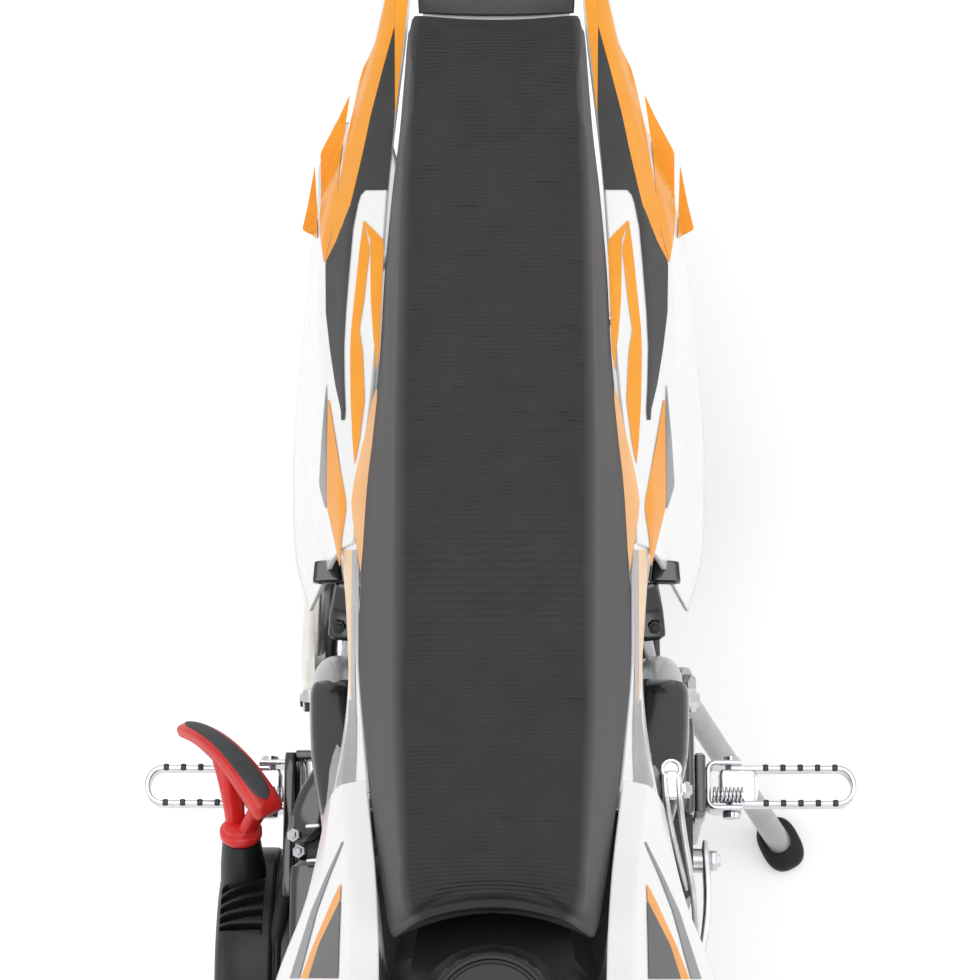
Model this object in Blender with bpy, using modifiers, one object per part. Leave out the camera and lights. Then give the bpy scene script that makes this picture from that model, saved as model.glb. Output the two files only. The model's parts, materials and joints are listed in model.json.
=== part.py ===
"""A small petrol dirt bike, parked on its side stand.

Everything is worked out in the bike's own upright frame: +X forward, +Y to the rider's left, +Z up,
with both tyres touching z = 0. One empty then leans the whole bike on to its stand and moves it so
that the middle of its bounding box is over the origin and its lowest point is at z = 0.
"""

import math

import bmesh
import bpy
import numpy as np
from mathutils import Matrix, Vector

CLEAR = 0.0003          # gap between two pieces that touch
RUNNING = 0.0008        # radial gap of a shaft that turns in its bore

# Wheels and stance
REAR_AXLE_X = -0.470
FRONT_AXLE_X = 0.440
TYRE_RADIUS = 0.190
TYRE_HALF_WIDTH = 0.0345
TYRE_HEIGHT = 0.053     # from the rim's lip to the tread
CROWN_RADIUS = 0.042    # of the tread, seen along the wheel
AXLE_Z = TYRE_RADIUS
AXLE_RADIUS = 0.006
LEAN = math.radians(9.0)
LUG_COUNT = 24          # rows of tread lugs round each tyre
WHEEL_STEPS = 2 * LUG_COUNT
LUG_HEIGHT = 0.0075
LUG_HALF_ANGLE = 0.27 * 2 * math.pi / LUG_COUNT    # of a centre lug; the shoulder lugs fill the rest of its pitch
LUG_WALL_ANGLE = 0.02 * 2 * math.pi / LUG_COUNT    # that a lug's end wall slants over
# y, whether a centre lug stands there, whether a shoulder lug does
LUG_COLUMNS = ((0.0, True, False), (0.0072, True, False), (0.0145, True, False), (0.0175, False, True),
               (0.0310, False, True))

RIM_LIP_RADIUS = TYRE_RADIUS - TYRE_HEIGHT
RIM_BED_RADIUS = RIM_LIP_RADIUS - 0.0095
RIM_INNER_RADIUS = RIM_BED_RADIUS - 0.011
RIM_HALF_WIDTH = 0.026
RIM_LIP = 0.0025
HUB_RADIUS = 0.0165
HUB_HALF_WIDTH = 0.0295
HUB_FLANGE_RADIUS = 0.027
HUB_FLANGE_Y = 0.020
SPOKE_COUNT = 24
SPOKE_RADIUS = 0.0014
SPOKE_STAGGER = 0.0018  # half the distance between the two layers of crossed spokes
DISC_RADIUS = 0.080
DISC_THICKNESS = 0.003

# Steering
RAKE = math.radians(24.0)
FORK_OFFSET = 0.035     # of the fork legs ahead of the steering axis
FORK_HALF_SPACING = 0.072
FORK_TUBE_RADIUS = 0.0195
FORK_LEG_RADIUS = 0.0145
FORK_TOP = 0.575        # distances along the fork, up from the axle
FORK_TUBE_BOTTOM = 0.240
LOWER_CLAMP = (0.366, 0.392)
UPPER_CLAMP = (0.545, 0.565)
CLAMP_ARM_HALF = 0.012  # half the width of the arms from the stem to the tubes
HEAD_TUBE_RADIUS = 0.022
STEM_RADIUS = 0.0135
BAR_RADIUS = 0.011
AXLE_REACH = 0.090
BAR_CENTRE = (-0.030, 0.606)   # ahead of the fork line, and along it
CROSSBAR_RADIUS = 0.006

# Frame
SPAR_RADIUS = 0.014
CRADLE_RADIUS = 0.011
SUBFRAME_RADIUS = 0.009
PIVOT = Vector((-0.175, 0.0, 0.270))
PIVOT_TUBE_RADIUS = 0.012
PIVOT_PLATE_Y = (0.080, 0.090)
ARM_THICKNESS = 0.016
ARM_HEIGHT = 0.032
ARM_Y = PIVOT_PLATE_Y[1] + CLEAR
PEG_X = -0.1135
PEG_Z = 0.285
PEG_PLATE_Y = (0.128, 0.134)
PEG_TIP_Y = 0.2345
PEG_WIDTH = 0.025

# Side stand
STAND_PIVOT = Vector((-0.195, 0.118, 0.232))
STAND_FOOT_XY = (-0.121, 0.201)
STAND_RADIUS = 0.008
STAND_PAD = (0.040, 0.030, 0.009)
STAND_FOLDED = Vector((-0.97, 0.10, 0.12))

SHEET = 0.003           # wall of the moulded panels

# Each row is one station along the bike, from the tail forwards: x, then y and z of the panel's
# inner edge, shoulder, lower crease and bottom edge.
SIDE_PANEL = (
    (-0.600, 0.0470, 0.618, 0.053, 0.614, 0.058, 0.606, 0.061, 0.596),
    (-0.530, 0.0525, 0.604, 0.059, 0.600, 0.065, 0.592, 0.070, 0.578),
    (-0.470, 0.0605, 0.593, 0.071, 0.585, 0.082, 0.571, 0.091, 0.545),
    (-0.430, 0.0650, 0.588, 0.081, 0.575, 0.098, 0.552, 0.112, 0.500),
    (-0.390, 0.0680, 0.583, 0.085, 0.568, 0.106, 0.540, 0.122, 0.450),
    (-0.330, 0.0720, 0.577, 0.088, 0.560, 0.106, 0.532, 0.130, 0.415),
    (-0.290, 0.0745, 0.573, 0.089, 0.555, 0.103, 0.530, 0.132, 0.405),
    (-0.240, 0.0795, 0.566, 0.090, 0.552, 0.099, 0.530, 0.130, 0.398),
    (-0.205, 0.0820, 0.563, 0.090, 0.549, 0.096, 0.526, 0.121, 0.395),
    (-0.140, 0.0840, 0.559, 0.089, 0.546, 0.092, 0.520, 0.093, 0.518),
    (-0.090, 0.0830, 0.557, 0.087, 0.545, 0.089, 0.527, 0.090, 0.525),
)
PLATE_FRONT_ROW = 8     # the number plate's part of the panel ends at this station

# The same columns, after an x for the inner edge and an x for the bottom edge.
SHROUD = (
    (-0.086, -0.086, 0.0850, 0.5600, 0.0900, 0.557, 0.0925, 0.548, 0.094, 0.534),
    (-0.045, -0.045, 0.0800, 0.5640, 0.0860, 0.562, 0.0955, 0.538, 0.101, 0.512),
    (-0.005, -0.005, 0.0730, 0.5760, 0.0815, 0.574, 0.0985, 0.527, 0.113, 0.482),
    (0.035, 0.037, 0.0670, 0.5890, 0.0785, 0.588, 0.1040, 0.520, 0.132, 0.450),
    (0.080, 0.090, 0.0620, 0.6000, 0.0770, 0.599, 0.1120, 0.520, 0.147, 0.430),
    (0.125, 0.145, 0.0590, 0.6060, 0.0750, 0.605, 0.1180, 0.520, 0.151, 0.440),
    (0.152, 0.190, 0.0585, 0.6060, 0.0735, 0.604, 0.1150, 0.530, 0.138, 0.480),
)

# x, half width at the bottom, half width at the top, z of the bottom, z of the top
SEAT = (
    (-0.519, 0.0495, 0.041, 0.6000, 0.624),
    (-0.490, 0.0540, 0.045, 0.5945, 0.632),
    (-0.417, 0.0615, 0.049, 0.5850, 0.625),
    (-0.320, 0.0685, 0.053, 0.5745, 0.609),
    (-0.217, 0.0770, 0.057, 0.5640, 0.597),
    (-0.138, 0.0810, 0.059, 0.5590, 0.591),
    (-0.079, 0.0785, 0.059, 0.5580, 0.591),
    (-0.019, 0.0705, 0.056, 0.5650, 0.598),
    (0.035, 0.0630, 0.050, 0.5800, 0.610),
)

# The feet under the seat that stand on the seat rails
SEAT_FOOT_X = -0.315
SEAT_FOOT_Y = 0.044
SEAT_FOOT_Z = 0.5550

# Where the side panel's boss meets the rail, and the shroud's boss the tank's side
PANEL_BOSS = (-0.380, 0.0414, 0.550)
PANEL_BOSS_END_Y = 0.0967
SHROUD_BOSS = (0.085, 0.572)
SHROUD_BOSS_END_Y = 0.0870
TANK_HALF_WIDTH = 0.060

# x, half width, z of the bottom, z of the top
TANK = (
    (-0.020, 0.048, 0.520, 0.550),
    (0.020, 0.054, 0.515, 0.562),
    (0.042, 0.058, 0.512, 0.574),
    (0.060, 0.059, 0.512, 0.600),
    (0.085, 0.060, 0.512, 0.606),
    (0.125, 0.056, 0.520, 0.606),
    (0.158, 0.044, 0.545, 0.596),
)
CAP_X = 0.083
CAP_Z = 0.626
CAP_RADIUS = 0.037

# x, half width, z of the middle, drop of the edges
REAR_FENDER = (
    (-0.440, 0.046, 0.5778, 0.004),
    (-0.500, 0.045, 0.5888, 0.004),
    (-0.532, 0.0445, 0.6048, 0.004),
    (-0.570, 0.0455, 0.6140, 0.007),
    (-0.620, 0.052, 0.6240, 0.012),
    (-0.670, 0.049, 0.6300, 0.015),
    (-0.705, 0.034, 0.6290, 0.014),
)
FRONT_FENDER = (
    (0.262, 0.034, 0.4900, 0.012),
    (0.300, 0.044, 0.5080, 0.012),
    (0.345, 0.047, 0.5140, 0.012),
    (0.420, 0.060, 0.5120, 0.020),
    (0.500, 0.062, 0.4970, 0.022),
    (0.580, 0.050, 0.4700, 0.018),
    (0.640, 0.026, 0.4400, 0.010),
)

FINISHES = {
    "frame_paint": ((0.42, 0.43, 0.44), 0.35, 0.2),
    "arm_paint": ((0.16, 0.165, 0.17), 0.4, 0.2),
    "white_plastic": ((0.93, 0.93, 0.93), 0.3, 0.0),
    "black_plastic": ((0.025, 0.025, 0.027), 0.45, 0.0),
    "seat_vinyl": ((0.07, 0.07, 0.072), 0.7, 0.0),
    "tyre_rubber": ((0.02, 0.02, 0.02), 0.85, 0.0),
    "grip_rubber": ((0.02, 0.02, 0.02), 0.75, 0.0),
    "engine_black": ((0.03, 0.03, 0.032), 0.4, 0.3),
    "alloy": ((0.6, 0.61, 0.62), 0.35, 0.9),
    "chrome": ((0.8, 0.8, 0.8), 0.15, 1.0),
    "steel": ((0.45, 0.46, 0.47), 0.35, 0.9),
    "rim_black": ((0.03, 0.03, 0.03), 0.35, 0.4),
    "red_plastic": ((0.75, 0.03, 0.03), 0.4, 0.0),
    "fork_black": ((0.04, 0.04, 0.042), 0.3, 0.6),
    "exhaust_steel": ((0.12, 0.12, 0.125), 0.4, 0.8),
}


def start_scene():
    """Empties the file and makes the two collections."""
    for obj in list(bpy.data.objects):
        bpy.data.objects.remove(obj)
    made = bpy.data.collections.new("dirt_bike")
    bpy.context.scene.collection.children.link(made)
    bench = bpy.data.collections.new("bench")
    bpy.context.scene.collection.children.link(bench)
    return made, bench


BIKE, BENCH = start_scene()


def finish_material(slot):
    """The Principled material of one finish, made once."""
    if slot in bpy.data.materials:
        return bpy.data.materials[slot]
    colour, roughness, metallic = FINISHES[slot]
    made = bpy.data.materials.new(slot)
    made.use_nodes = True
    shader = made.node_tree.nodes["Principled BSDF"]
    shader.inputs["Base Color"].default_value = (*colour, 1.0)
    shader.inputs["Roughness"].default_value = roughness
    shader.inputs["Metallic"].default_value = metallic
    return made


# Solids: each function returns an object whose mesh is in the bike's upright frame


def bench_object(name, data):
    obj = bpy.data.objects.new(name, data)
    BENCH.objects.link(obj)
    return obj


def from_bmesh(name, shape):
    mesh = bpy.data.meshes.new(name)
    shape.to_mesh(mesh)
    shape.free()
    return bench_object(name, mesh)


def settled(obj, weld=1e-5):
    """obj with its modifiers, curve and place turned into one plain welded mesh."""
    bpy.context.view_layer.update()
    graph = bpy.context.evaluated_depsgraph_get()
    mesh = bpy.data.meshes.new_from_object(obj.evaluated_get(graph))
    mesh.transform(obj.matrix_world)
    shape = bmesh.new()
    shape.from_mesh(mesh)
    bmesh.ops.remove_doubles(shape, verts=shape.verts, dist=weld)
    shape.to_mesh(mesh)
    shape.free()
    name = obj.name
    bpy.data.objects.remove(obj)
    return bench_object(name, mesh)


def placed(obj, matrix):
    obj.data.transform(matrix)
    if matrix.determinant() < 0:
        obj.data.flip_normals()
    return obj


def along(start, end):
    """The matrix that takes a shape round the Z axis from z = 0 to one that starts at start and points to end."""
    start, end = Vector(start), Vector(end)
    return Matrix.Translation(start) @ (end - start).to_track_quat("Z", "Y").to_matrix().to_4x4()


def rod(start, end, radius, sides=16, end_radius=None):
    """A round bar, or a cone where end_radius differs."""
    length = (Vector(end) - Vector(start)).length
    shape = bmesh.new()
    bmesh.ops.create_cone(
        shape, cap_ends=True, segments=sides, radius1=radius,
        radius2=radius if end_radius is None else end_radius, depth=length,
    )
    bmesh.ops.translate(shape, verts=shape.verts, vec=(0, 0, length / 2))
    return placed(from_bmesh("rod", shape), along(start, end))


def bore(start, end, radius, sides=16, gap=CLEAR):
    """A cutter whose flats clear a bar of that radius."""
    return rod(start, end, (radius + gap) / math.cos(math.pi / sides), sides)


def box(low, high, bevel=0.0, matrix=None):
    """A box between two corners, with bevelled edges."""
    low, high = Vector(low), Vector(high)
    shape = bmesh.new()
    bmesh.ops.create_cube(shape, size=1.0)
    bmesh.ops.scale(shape, verts=shape.verts, vec=high - low)
    bmesh.ops.translate(shape, verts=shape.verts, vec=(low + high) / 2)
    if bevel:
        bmesh.ops.bevel(shape, geom=list(shape.edges), offset=bevel, segments=1, affect="EDGES")
    made = from_bmesh("box", shape)
    return placed(made, matrix) if matrix else made


def rounded_path(points, bend, turn_per_step=24.0):
    """The points with each inner corner replaced by a short curve, finer where the corner is sharper."""
    points = [Vector(p) for p in points]
    path = [points[0]]
    for before, corner, after in zip(points, points[1:], points[2:]):
        turn = math.degrees((corner - before).angle(after - corner))
        steps = round(turn / turn_per_step)
        if steps < 1:
            path.append(corner)
            continue
        reach = min(bend, (before - corner).length * 0.45, (after - corner).length * 0.45)
        enter = corner + (before - corner).normalized() * reach
        leave = corner + (after - corner).normalized() * reach
        for step in range(steps + 1):
            t = step / steps
            path.append(enter * (1 - t) ** 2 + corner * 2 * t * (1 - t) + leave * t * t)
    return path + [points[-1]]


def tube(points, radius, bend=0.03, resolution=3):
    """A bent bar: a poly curve with a round bevel and filled caps."""
    data = bpy.data.curves.new("tube", "CURVE")
    data.dimensions = "3D"
    data.bevel_depth = radius
    data.bevel_resolution = resolution
    data.use_fill_caps = True
    path = rounded_path(points, bend)
    spline = data.splines.new("POLY")
    spline.points.add(len(path) - 1)
    for point, co in zip(spline.points, path):
        point.co = (*co, 1.0)
    return settled(bench_object("tube", data))


def turned(profile, steps, matrix=None):
    """A profile of (distance along the axis, radius) points, turned round the Y axis.

    The profile closes on itself, unless it starts and ends on the axis."""
    shape = bmesh.new()
    corners = [shape.verts.new((radius, along_axis, 0)) for along_axis, radius in profile]
    for first, second in zip(corners, corners[1:]):
        shape.edges.new((first, second))
    if profile[0][1] > 0:
        shape.edges.new((corners[-1], corners[0]))
    obj = from_bmesh("turned", shape)
    screw = obj.modifiers.new("turn", "SCREW")
    screw.axis = "Y"
    screw.steps = screw.render_steps = steps
    screw.use_merge_vertices = True
    screw.merge_threshold = 1e-5
    made = facing_out(settled(obj))
    return placed(made, matrix) if matrix else made


def facing_out(obj):
    shape = bmesh.new()
    shape.from_mesh(obj.data)
    bmesh.ops.recalc_face_normals(shape, faces=shape.faces)
    if shape.calc_volume(signed=True) < 0:
        bmesh.ops.reverse_faces(shape, faces=shape.faces)
    shape.to_mesh(obj.data)
    shape.free()
    return obj


def plate(outline, thickness, matrix, bevel=0.0):
    """A flat outline in XY, centred on z = 0, then placed by matrix."""
    data = bpy.data.curves.new("plate", "CURVE")
    data.dimensions = "2D"
    data.fill_mode = "BOTH"
    data.extrude = thickness / 2 - bevel
    data.bevel_depth = bevel
    data.offset = -bevel
    spline = data.splines.new("POLY")
    spline.points.add(len(outline) - 1)
    for point, (x, y) in zip(spline.points, outline):
        point.co = (x, y, 0, 1)
    spline.use_cyclic_u = True
    return facing_out(placed(settled(bench_object("plate", data)), matrix))


def loft(rings):
    """A closed solid through rings of equal length, with flat ends."""
    shape = bmesh.new()
    rows = [[shape.verts.new(p) for p in ring] for ring in rings]
    count = len(rows[0])
    for near, far in zip(rows, rows[1:]):
        for i in range(count):
            j = (i + 1) % count
            shape.faces.new((near[i], near[j], far[j], far[i]))
    shape.faces.new(rows[0])
    shape.faces.new(rows[-1])
    return facing_out(from_bmesh("loft", shape))


def sheet(rows, thickness, side=-1.0, keep=lambda row, column: True):
    """An open surface through a grid of points, made a wall of that thickness with Solidify."""
    shape = bmesh.new()
    grid = [[shape.verts.new(p) for p in row] for row in rows]
    for i in range(len(grid) - 1):
        for j in range(len(grid[0]) - 1):
            if keep(i, j):
                shape.faces.new((grid[i][j], grid[i][j + 1], grid[i + 1][j + 1], grid[i + 1][j]))
    loose = [v for v in shape.verts if not v.link_faces]
    bmesh.ops.delete(shape, geom=loose, context="VERTS")
    obj = from_bmesh("sheet", shape)
    wall = obj.modifiers.new("wall", "SOLIDIFY")
    wall.thickness = thickness
    wall.offset = side
    wall.use_even_offset = True
    return facing_out(settled(obj))


def joined(solids):
    """One body: the solids united."""
    first, rest = solids[0], solids[1:]
    return combined(first, rest, "UNION") if rest else first


def cut(solid, cutters):
    return combined(solid, cutters, "DIFFERENCE")


def combined(first, rest, operation):
    group = bpy.data.collections.new("operands")
    for other in rest:
        group.objects.link(other)
    boolean = first.modifiers.new("combine", "BOOLEAN")
    boolean.operation = operation
    boolean.operand_type = "COLLECTION"
    boolean.collection = group
    boolean.solver = "EXACT"
    made = settled(first)
    for other in rest:
        bpy.data.objects.remove(other)
    bpy.data.collections.remove(group)
    return made


def smooth(values, between):
    """The rows of a table with extra rows between them, on a Catmull-Rom curve through them."""
    rows = np.array(values, float)
    ends = np.vstack([2 * rows[0] - rows[1], rows, 2 * rows[-1] - rows[-2]])
    made = []
    for i in range(1, len(ends) - 2):
        p0, p1, p2, p3 = ends[i - 1:i + 3]
        for step in range(between + 1):
            t = step / (between + 1)
            made.append(0.5 * (2 * p1 + (p2 - p0) * t + (2 * p0 - 5 * p1 + 4 * p2 - p3) * t * t
                               + (3 * p1 - p0 - 3 * p2 + p3) * t ** 3))
    return made + [rows[-1]]


# Empties that carry the bodies


def carrier(name, parent, matrix):
    empty = bpy.data.objects.new(name, None)
    BIKE.objects.link(empty)
    empty.parent = parent
    bpy.context.view_layer.update()
    empty.matrix_world = matrix
    bpy.context.view_layer.update()
    return empty


FORK_DIRECTION = Vector((-math.sin(RAKE), 0, math.cos(RAKE)))
FORK_AHEAD = Vector((math.cos(RAKE), 0, math.sin(RAKE)))
FRONT_AXLE = Vector((FRONT_AXLE_X, 0, AXLE_Z))
REAR_AXLE = Vector((REAR_AXLE_X, 0, AXLE_Z))
STEERING_POINT = FRONT_AXLE - FORK_AHEAD * FORK_OFFSET

FORK_FRAME = Matrix.Translation(FRONT_AXLE) @ Matrix((
    (FORK_AHEAD.x, 0, FORK_DIRECTION.x, 0),
    (0, 1, 0, 0),
    (FORK_AHEAD.z, 0, FORK_DIRECTION.z, 0),
    (0, 0, 0, 1),
))


def ground_below_axle():
    """The ground's distance below the axles, square to the ground, once the bike leans."""
    return (TYRE_RADIUS - CROWN_RADIUS) * math.cos(LEAN) + CROWN_RADIUS


def ground_z(y):
    """Height in the upright frame of the ground that the leaning bike stands on."""
    return AXLE_Z + (y * math.sin(LEAN) - ground_below_axle()) / math.cos(LEAN)


ROOT = carrier("bike", None, Matrix.Identity(4))
STEERING = carrier(
    "steering_axis", ROOT,
    Matrix.Translation(STEERING_POINT) @ Matrix.Rotation(-RAKE, 4, "Y"),
)
FRONT_WHEEL = carrier("front_wheel_axis", STEERING, Matrix.Translation(FRONT_AXLE))
REAR_WHEEL = carrier("rear_wheel_axis", ROOT, Matrix.Translation(REAR_AXLE))
STAND_FOOT = Vector((*STAND_FOOT_XY, ground_z(STAND_FOOT_XY[1])))
STAND_AXIS = (STAND_FOOT - STAND_PIVOT).cross(STAND_FOLDED).normalized()
STAND = carrier(
    "stand_axis", ROOT,
    Matrix.Translation(STAND_PIVOT) @ STAND_AXIS.to_track_quat("Z", "Y").to_matrix().to_4x4(),
)


def node(name, solid, slot, parent):
    """The finished piece: named, painted, shaded and riding on its empty, with its origin there."""
    solid.name = solid.data.name = name
    BENCH.objects.unlink(solid)
    BIKE.objects.link(solid)
    solid.data.transform(parent.matrix_world.inverted())
    solid.parent = parent
    solid.data.materials.clear()
    solid.data.materials.append(finish_material(slot))
    solid.data.shade_smooth()
    solid.data.set_sharp_from_angle(angle=math.radians(35))
    return solid


# Wheels


def tread_radius(y):
    return TYRE_RADIUS - CROWN_RADIUS + math.sqrt(CROWN_RADIUS ** 2 - y ** 2)


def tyre(centre):
    """A knobbly tyre: centre lugs alternate with pairs of shoulder lugs, on a carcass that narrows to its beads.

    The tread has four rows of points to each pitch, and the sides only two, joined by a band of triangles."""
    lip = RIM_LIP_RADIUS + CLEAR
    bead = RIM_HALF_WIDTH - RIM_LIP - CLEAR
    pitch = 2 * math.pi / LUG_COUNT
    spread = 1 / math.cos(LUG_HALF_ANGLE)          # so that a lug's flat reaches the tread's radius
    shape = bmesh.new()

    def point(angle, y, radius):
        return shape.verts.new(centre + Vector((radius * math.cos(angle), y, radius * math.sin(angle))))

    columns = [(-y, middle, shoulder) for y, middle, shoulder in LUG_COLUMNS[:0:-1]] + list(LUG_COLUMNS)
    tread = []
    for i in range(LUG_COUNT):
        turn = i * pitch - math.pi / 2
        reach, wall = LUG_HALF_ANGLE, LUG_HALF_ANGLE + LUG_WALL_ANGLE
        for angle, on_lug in ((-wall, False), (-reach, True), (reach, True), (wall, False)):
            row = [point(turn + angle, -TYRE_HALF_WIDTH, lip + 0.4 * TYRE_HEIGHT)]
            for y, middle, shoulder in columns:
                high = middle if on_lug else shoulder
                row.append(point(turn + angle, y, (tread_radius(y) - (0 if high else LUG_HEIGHT)) * spread))
            row.append(point(turn + angle, TYRE_HALF_WIDTH, lip + 0.4 * TYRE_HEIGHT))
            tread.append(row)
    side = ((TYRE_HALF_WIDTH - 0.004, lip + 0.13 * TYRE_HEIGHT), (bead, lip), (bead, RIM_BED_RADIUS + CLEAR))
    carcass = []
    for i in range(WHEEL_STEPS):
        turn = i * pitch / 2 - math.pi / 2
        carcass.append([point(turn, y, radius) for y, radius in side]
                       + [point(turn, -y, radius) for y, radius in side[::-1]])
    for i, row in enumerate(tread):
        following = tread[(i + 1) % len(tread)]
        for k in range(len(row) - 1):
            shape.faces.new((row[k], row[k + 1], following[k + 1], following[k]))
    for i, row in enumerate(carcass):
        following = carcass[(i + 1) % WHEEL_STEPS]
        for k in range(len(row) - 1):
            shape.faces.new((row[k], row[k + 1], following[k + 1], following[k]))
        for edge, tread_edge in ((0, -1), (-1, 0)):
            first, second, third = (tread[(2 * i + k) % len(tread)][tread_edge] for k in (1, 2, 3))
            shape.faces.new((row[edge], first, second))
            shape.faces.new((row[edge], second, following[edge]))
            shape.faces.new((following[edge], second, third))
    return facing_out(from_bmesh("tyre", shape))


def rim(centre):
    half, lip = RIM_HALF_WIDTH, RIM_LIP
    right = [(half - lip, RIM_BED_RADIUS), (half - lip, RIM_LIP_RADIUS), (half, RIM_LIP_RADIUS),
             (half, RIM_BED_RADIUS - 0.0015), (0.012, RIM_INNER_RADIUS)]
    profile = right + [(-y, r) for y, r in reversed(right)]
    return turned(profile, WHEEL_STEPS, Matrix.Translation(centre))


def hub(centre, left_end, right_end):
    profile = [(left_end, AXLE_RADIUS + RUNNING), (left_end, HUB_RADIUS)]
    for side in (1, -1):
        inner, outer = HUB_FLANGE_Y - 0.0025, HUB_FLANGE_Y + 0.0025
        for y, r in ((outer, HUB_RADIUS), (outer, HUB_FLANGE_RADIUS), (inner, HUB_FLANGE_RADIUS),
                     (inner, HUB_RADIUS))[::side]:
            profile.append((side * y, r))
    profile += [(right_end, HUB_RADIUS), (right_end, AXLE_RADIUS + RUNNING)]
    return turned(profile, 12, Matrix.Translation(centre))


def spokes(centre):
    """Crossed pairs: each spoke leaves its flange at a slant and meets the rim's middle."""
    made = []
    for i in range(SPOKE_COUNT):
        side = 1 if i % 2 else -1
        slant = 1 if (i // 2) % 2 else -1
        at_rim = 2 * math.pi * (i + 0.5) / SPOKE_COUNT
        at_hub = at_rim + slant * 0.9
        start_r, end_r = HUB_FLANGE_RADIUS - 0.004, RIM_INNER_RADIUS + 0.002
        layer = slant * SPOKE_STAGGER
        start = Vector((start_r * math.cos(at_hub), side * (HUB_FLANGE_Y + layer), start_r * math.sin(at_hub)))
        end = Vector((end_r * math.cos(at_rim), side * (0.004 + layer), end_r * math.sin(at_rim)))
        made.append(rod(centre + start, centre + end, SPOKE_RADIUS, 4))
    return made


def brake_disc(centre, y):
    profile = [(y, HUB_RADIUS - 0.004), (y, DISC_RADIUS), (y + DISC_THICKNESS, DISC_RADIUS),
               (y + DISC_THICKNESS, HUB_RADIUS - 0.004)]
    return turned(profile, 32, Matrix.Translation(centre))


FRONT_DISC_Y = HUB_HALF_WIDTH + CLEAR
REAR_DISC_Y = -0.0395
SPROCKET_Y = 0.0445
SPROCKET_THICKNESS = 0.004
SPROCKET_TEETH = 40
CHAIN_PITCH = 0.00794
SPROCKET_PITCH_RADIUS = CHAIN_PITCH / (2 * math.sin(math.pi / SPROCKET_TEETH))


def sprocket(centre, y, teeth, bore):
    """A toothed plate. The teeth stand a little above the pitch circle."""
    pitch_radius = CHAIN_PITCH / (2 * math.sin(math.pi / teeth))
    outline = []
    for i in range(teeth):
        for share, rise in ((-0.12, 0.0018), (0.12, 0.0018), (0.5, -0.0022)):
            angle = 2 * math.pi * (i + share) / teeth
            radius = pitch_radius + rise
            outline.append((radius * math.cos(angle), radius * math.sin(angle)))
    upright = Matrix.Translation(centre + Vector((0, y + SPROCKET_THICKNESS / 2, 0))) @ Matrix.Rotation(
        math.pi / 2, 4, "X")
    blank = plate(outline, SPROCKET_THICKNESS, upright)
    return cut(blank, [rod(centre + Vector((0, y - 0.01, 0)), centre + Vector((0, y + 0.02, 0)), bore, 20)])


def wheels():
    front = joined([hub(FRONT_AXLE, HUB_HALF_WIDTH, -HUB_HALF_WIDTH), rim(FRONT_AXLE), *spokes(FRONT_AXLE)])
    rear = joined([hub(REAR_AXLE, SPROCKET_Y - CLEAR, REAR_DISC_Y + DISC_THICKNESS + CLEAR), rim(REAR_AXLE),
                   *spokes(REAR_AXLE)])
    node("front_rim", front, "rim_black", FRONT_WHEEL)
    node("rear_rim", rear, "rim_black", REAR_WHEEL)
    node("front_tyre", tyre(FRONT_AXLE), "tyre_rubber", FRONT_WHEEL)
    node("rear_tyre", tyre(REAR_AXLE), "tyre_rubber", REAR_WHEEL)
    node("front_disc", brake_disc(FRONT_AXLE, FRONT_DISC_Y), "steel", FRONT_WHEEL)
    node("rear_disc", brake_disc(REAR_AXLE, REAR_DISC_Y), "steel", REAR_WHEEL)
    node("rear_sprocket", sprocket(REAR_AXLE, SPROCKET_Y, SPROCKET_TEETH, HUB_RADIUS - 0.004), "steel",
         REAR_WHEEL)


# Steering


def fork_point(ahead, y, up):
    return FORK_FRAME @ Vector((ahead, y, up))


def fork_legs():
    """Both stanchions with their lugs, joined by the axle through the wheel's hub."""
    reach = Vector((0, AXLE_REACH, 0))
    pieces = [rod(FRONT_AXLE - reach, FRONT_AXLE + reach, AXLE_RADIUS, 12)]
    for side in (1, -1):
        y = side * FORK_HALF_SPACING
        pieces.append(rod(fork_point(0, y, 0.002), fork_point(0, y, FORK_TUBE_BOTTOM + 0.02), FORK_LEG_RADIUS, 14))
        pieces.append(box((-0.019, y - 0.0150, -0.022), (0.019, y + 0.0150, 0.045), 0.004, FORK_FRAME))
        pieces.append(rod(FRONT_AXLE + Vector((0, y + side * 0.010, 0)), FRONT_AXLE + Vector((0, y + side * 0.021, 0)),
                          0.012, 6))
    return joined(pieces)


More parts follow.
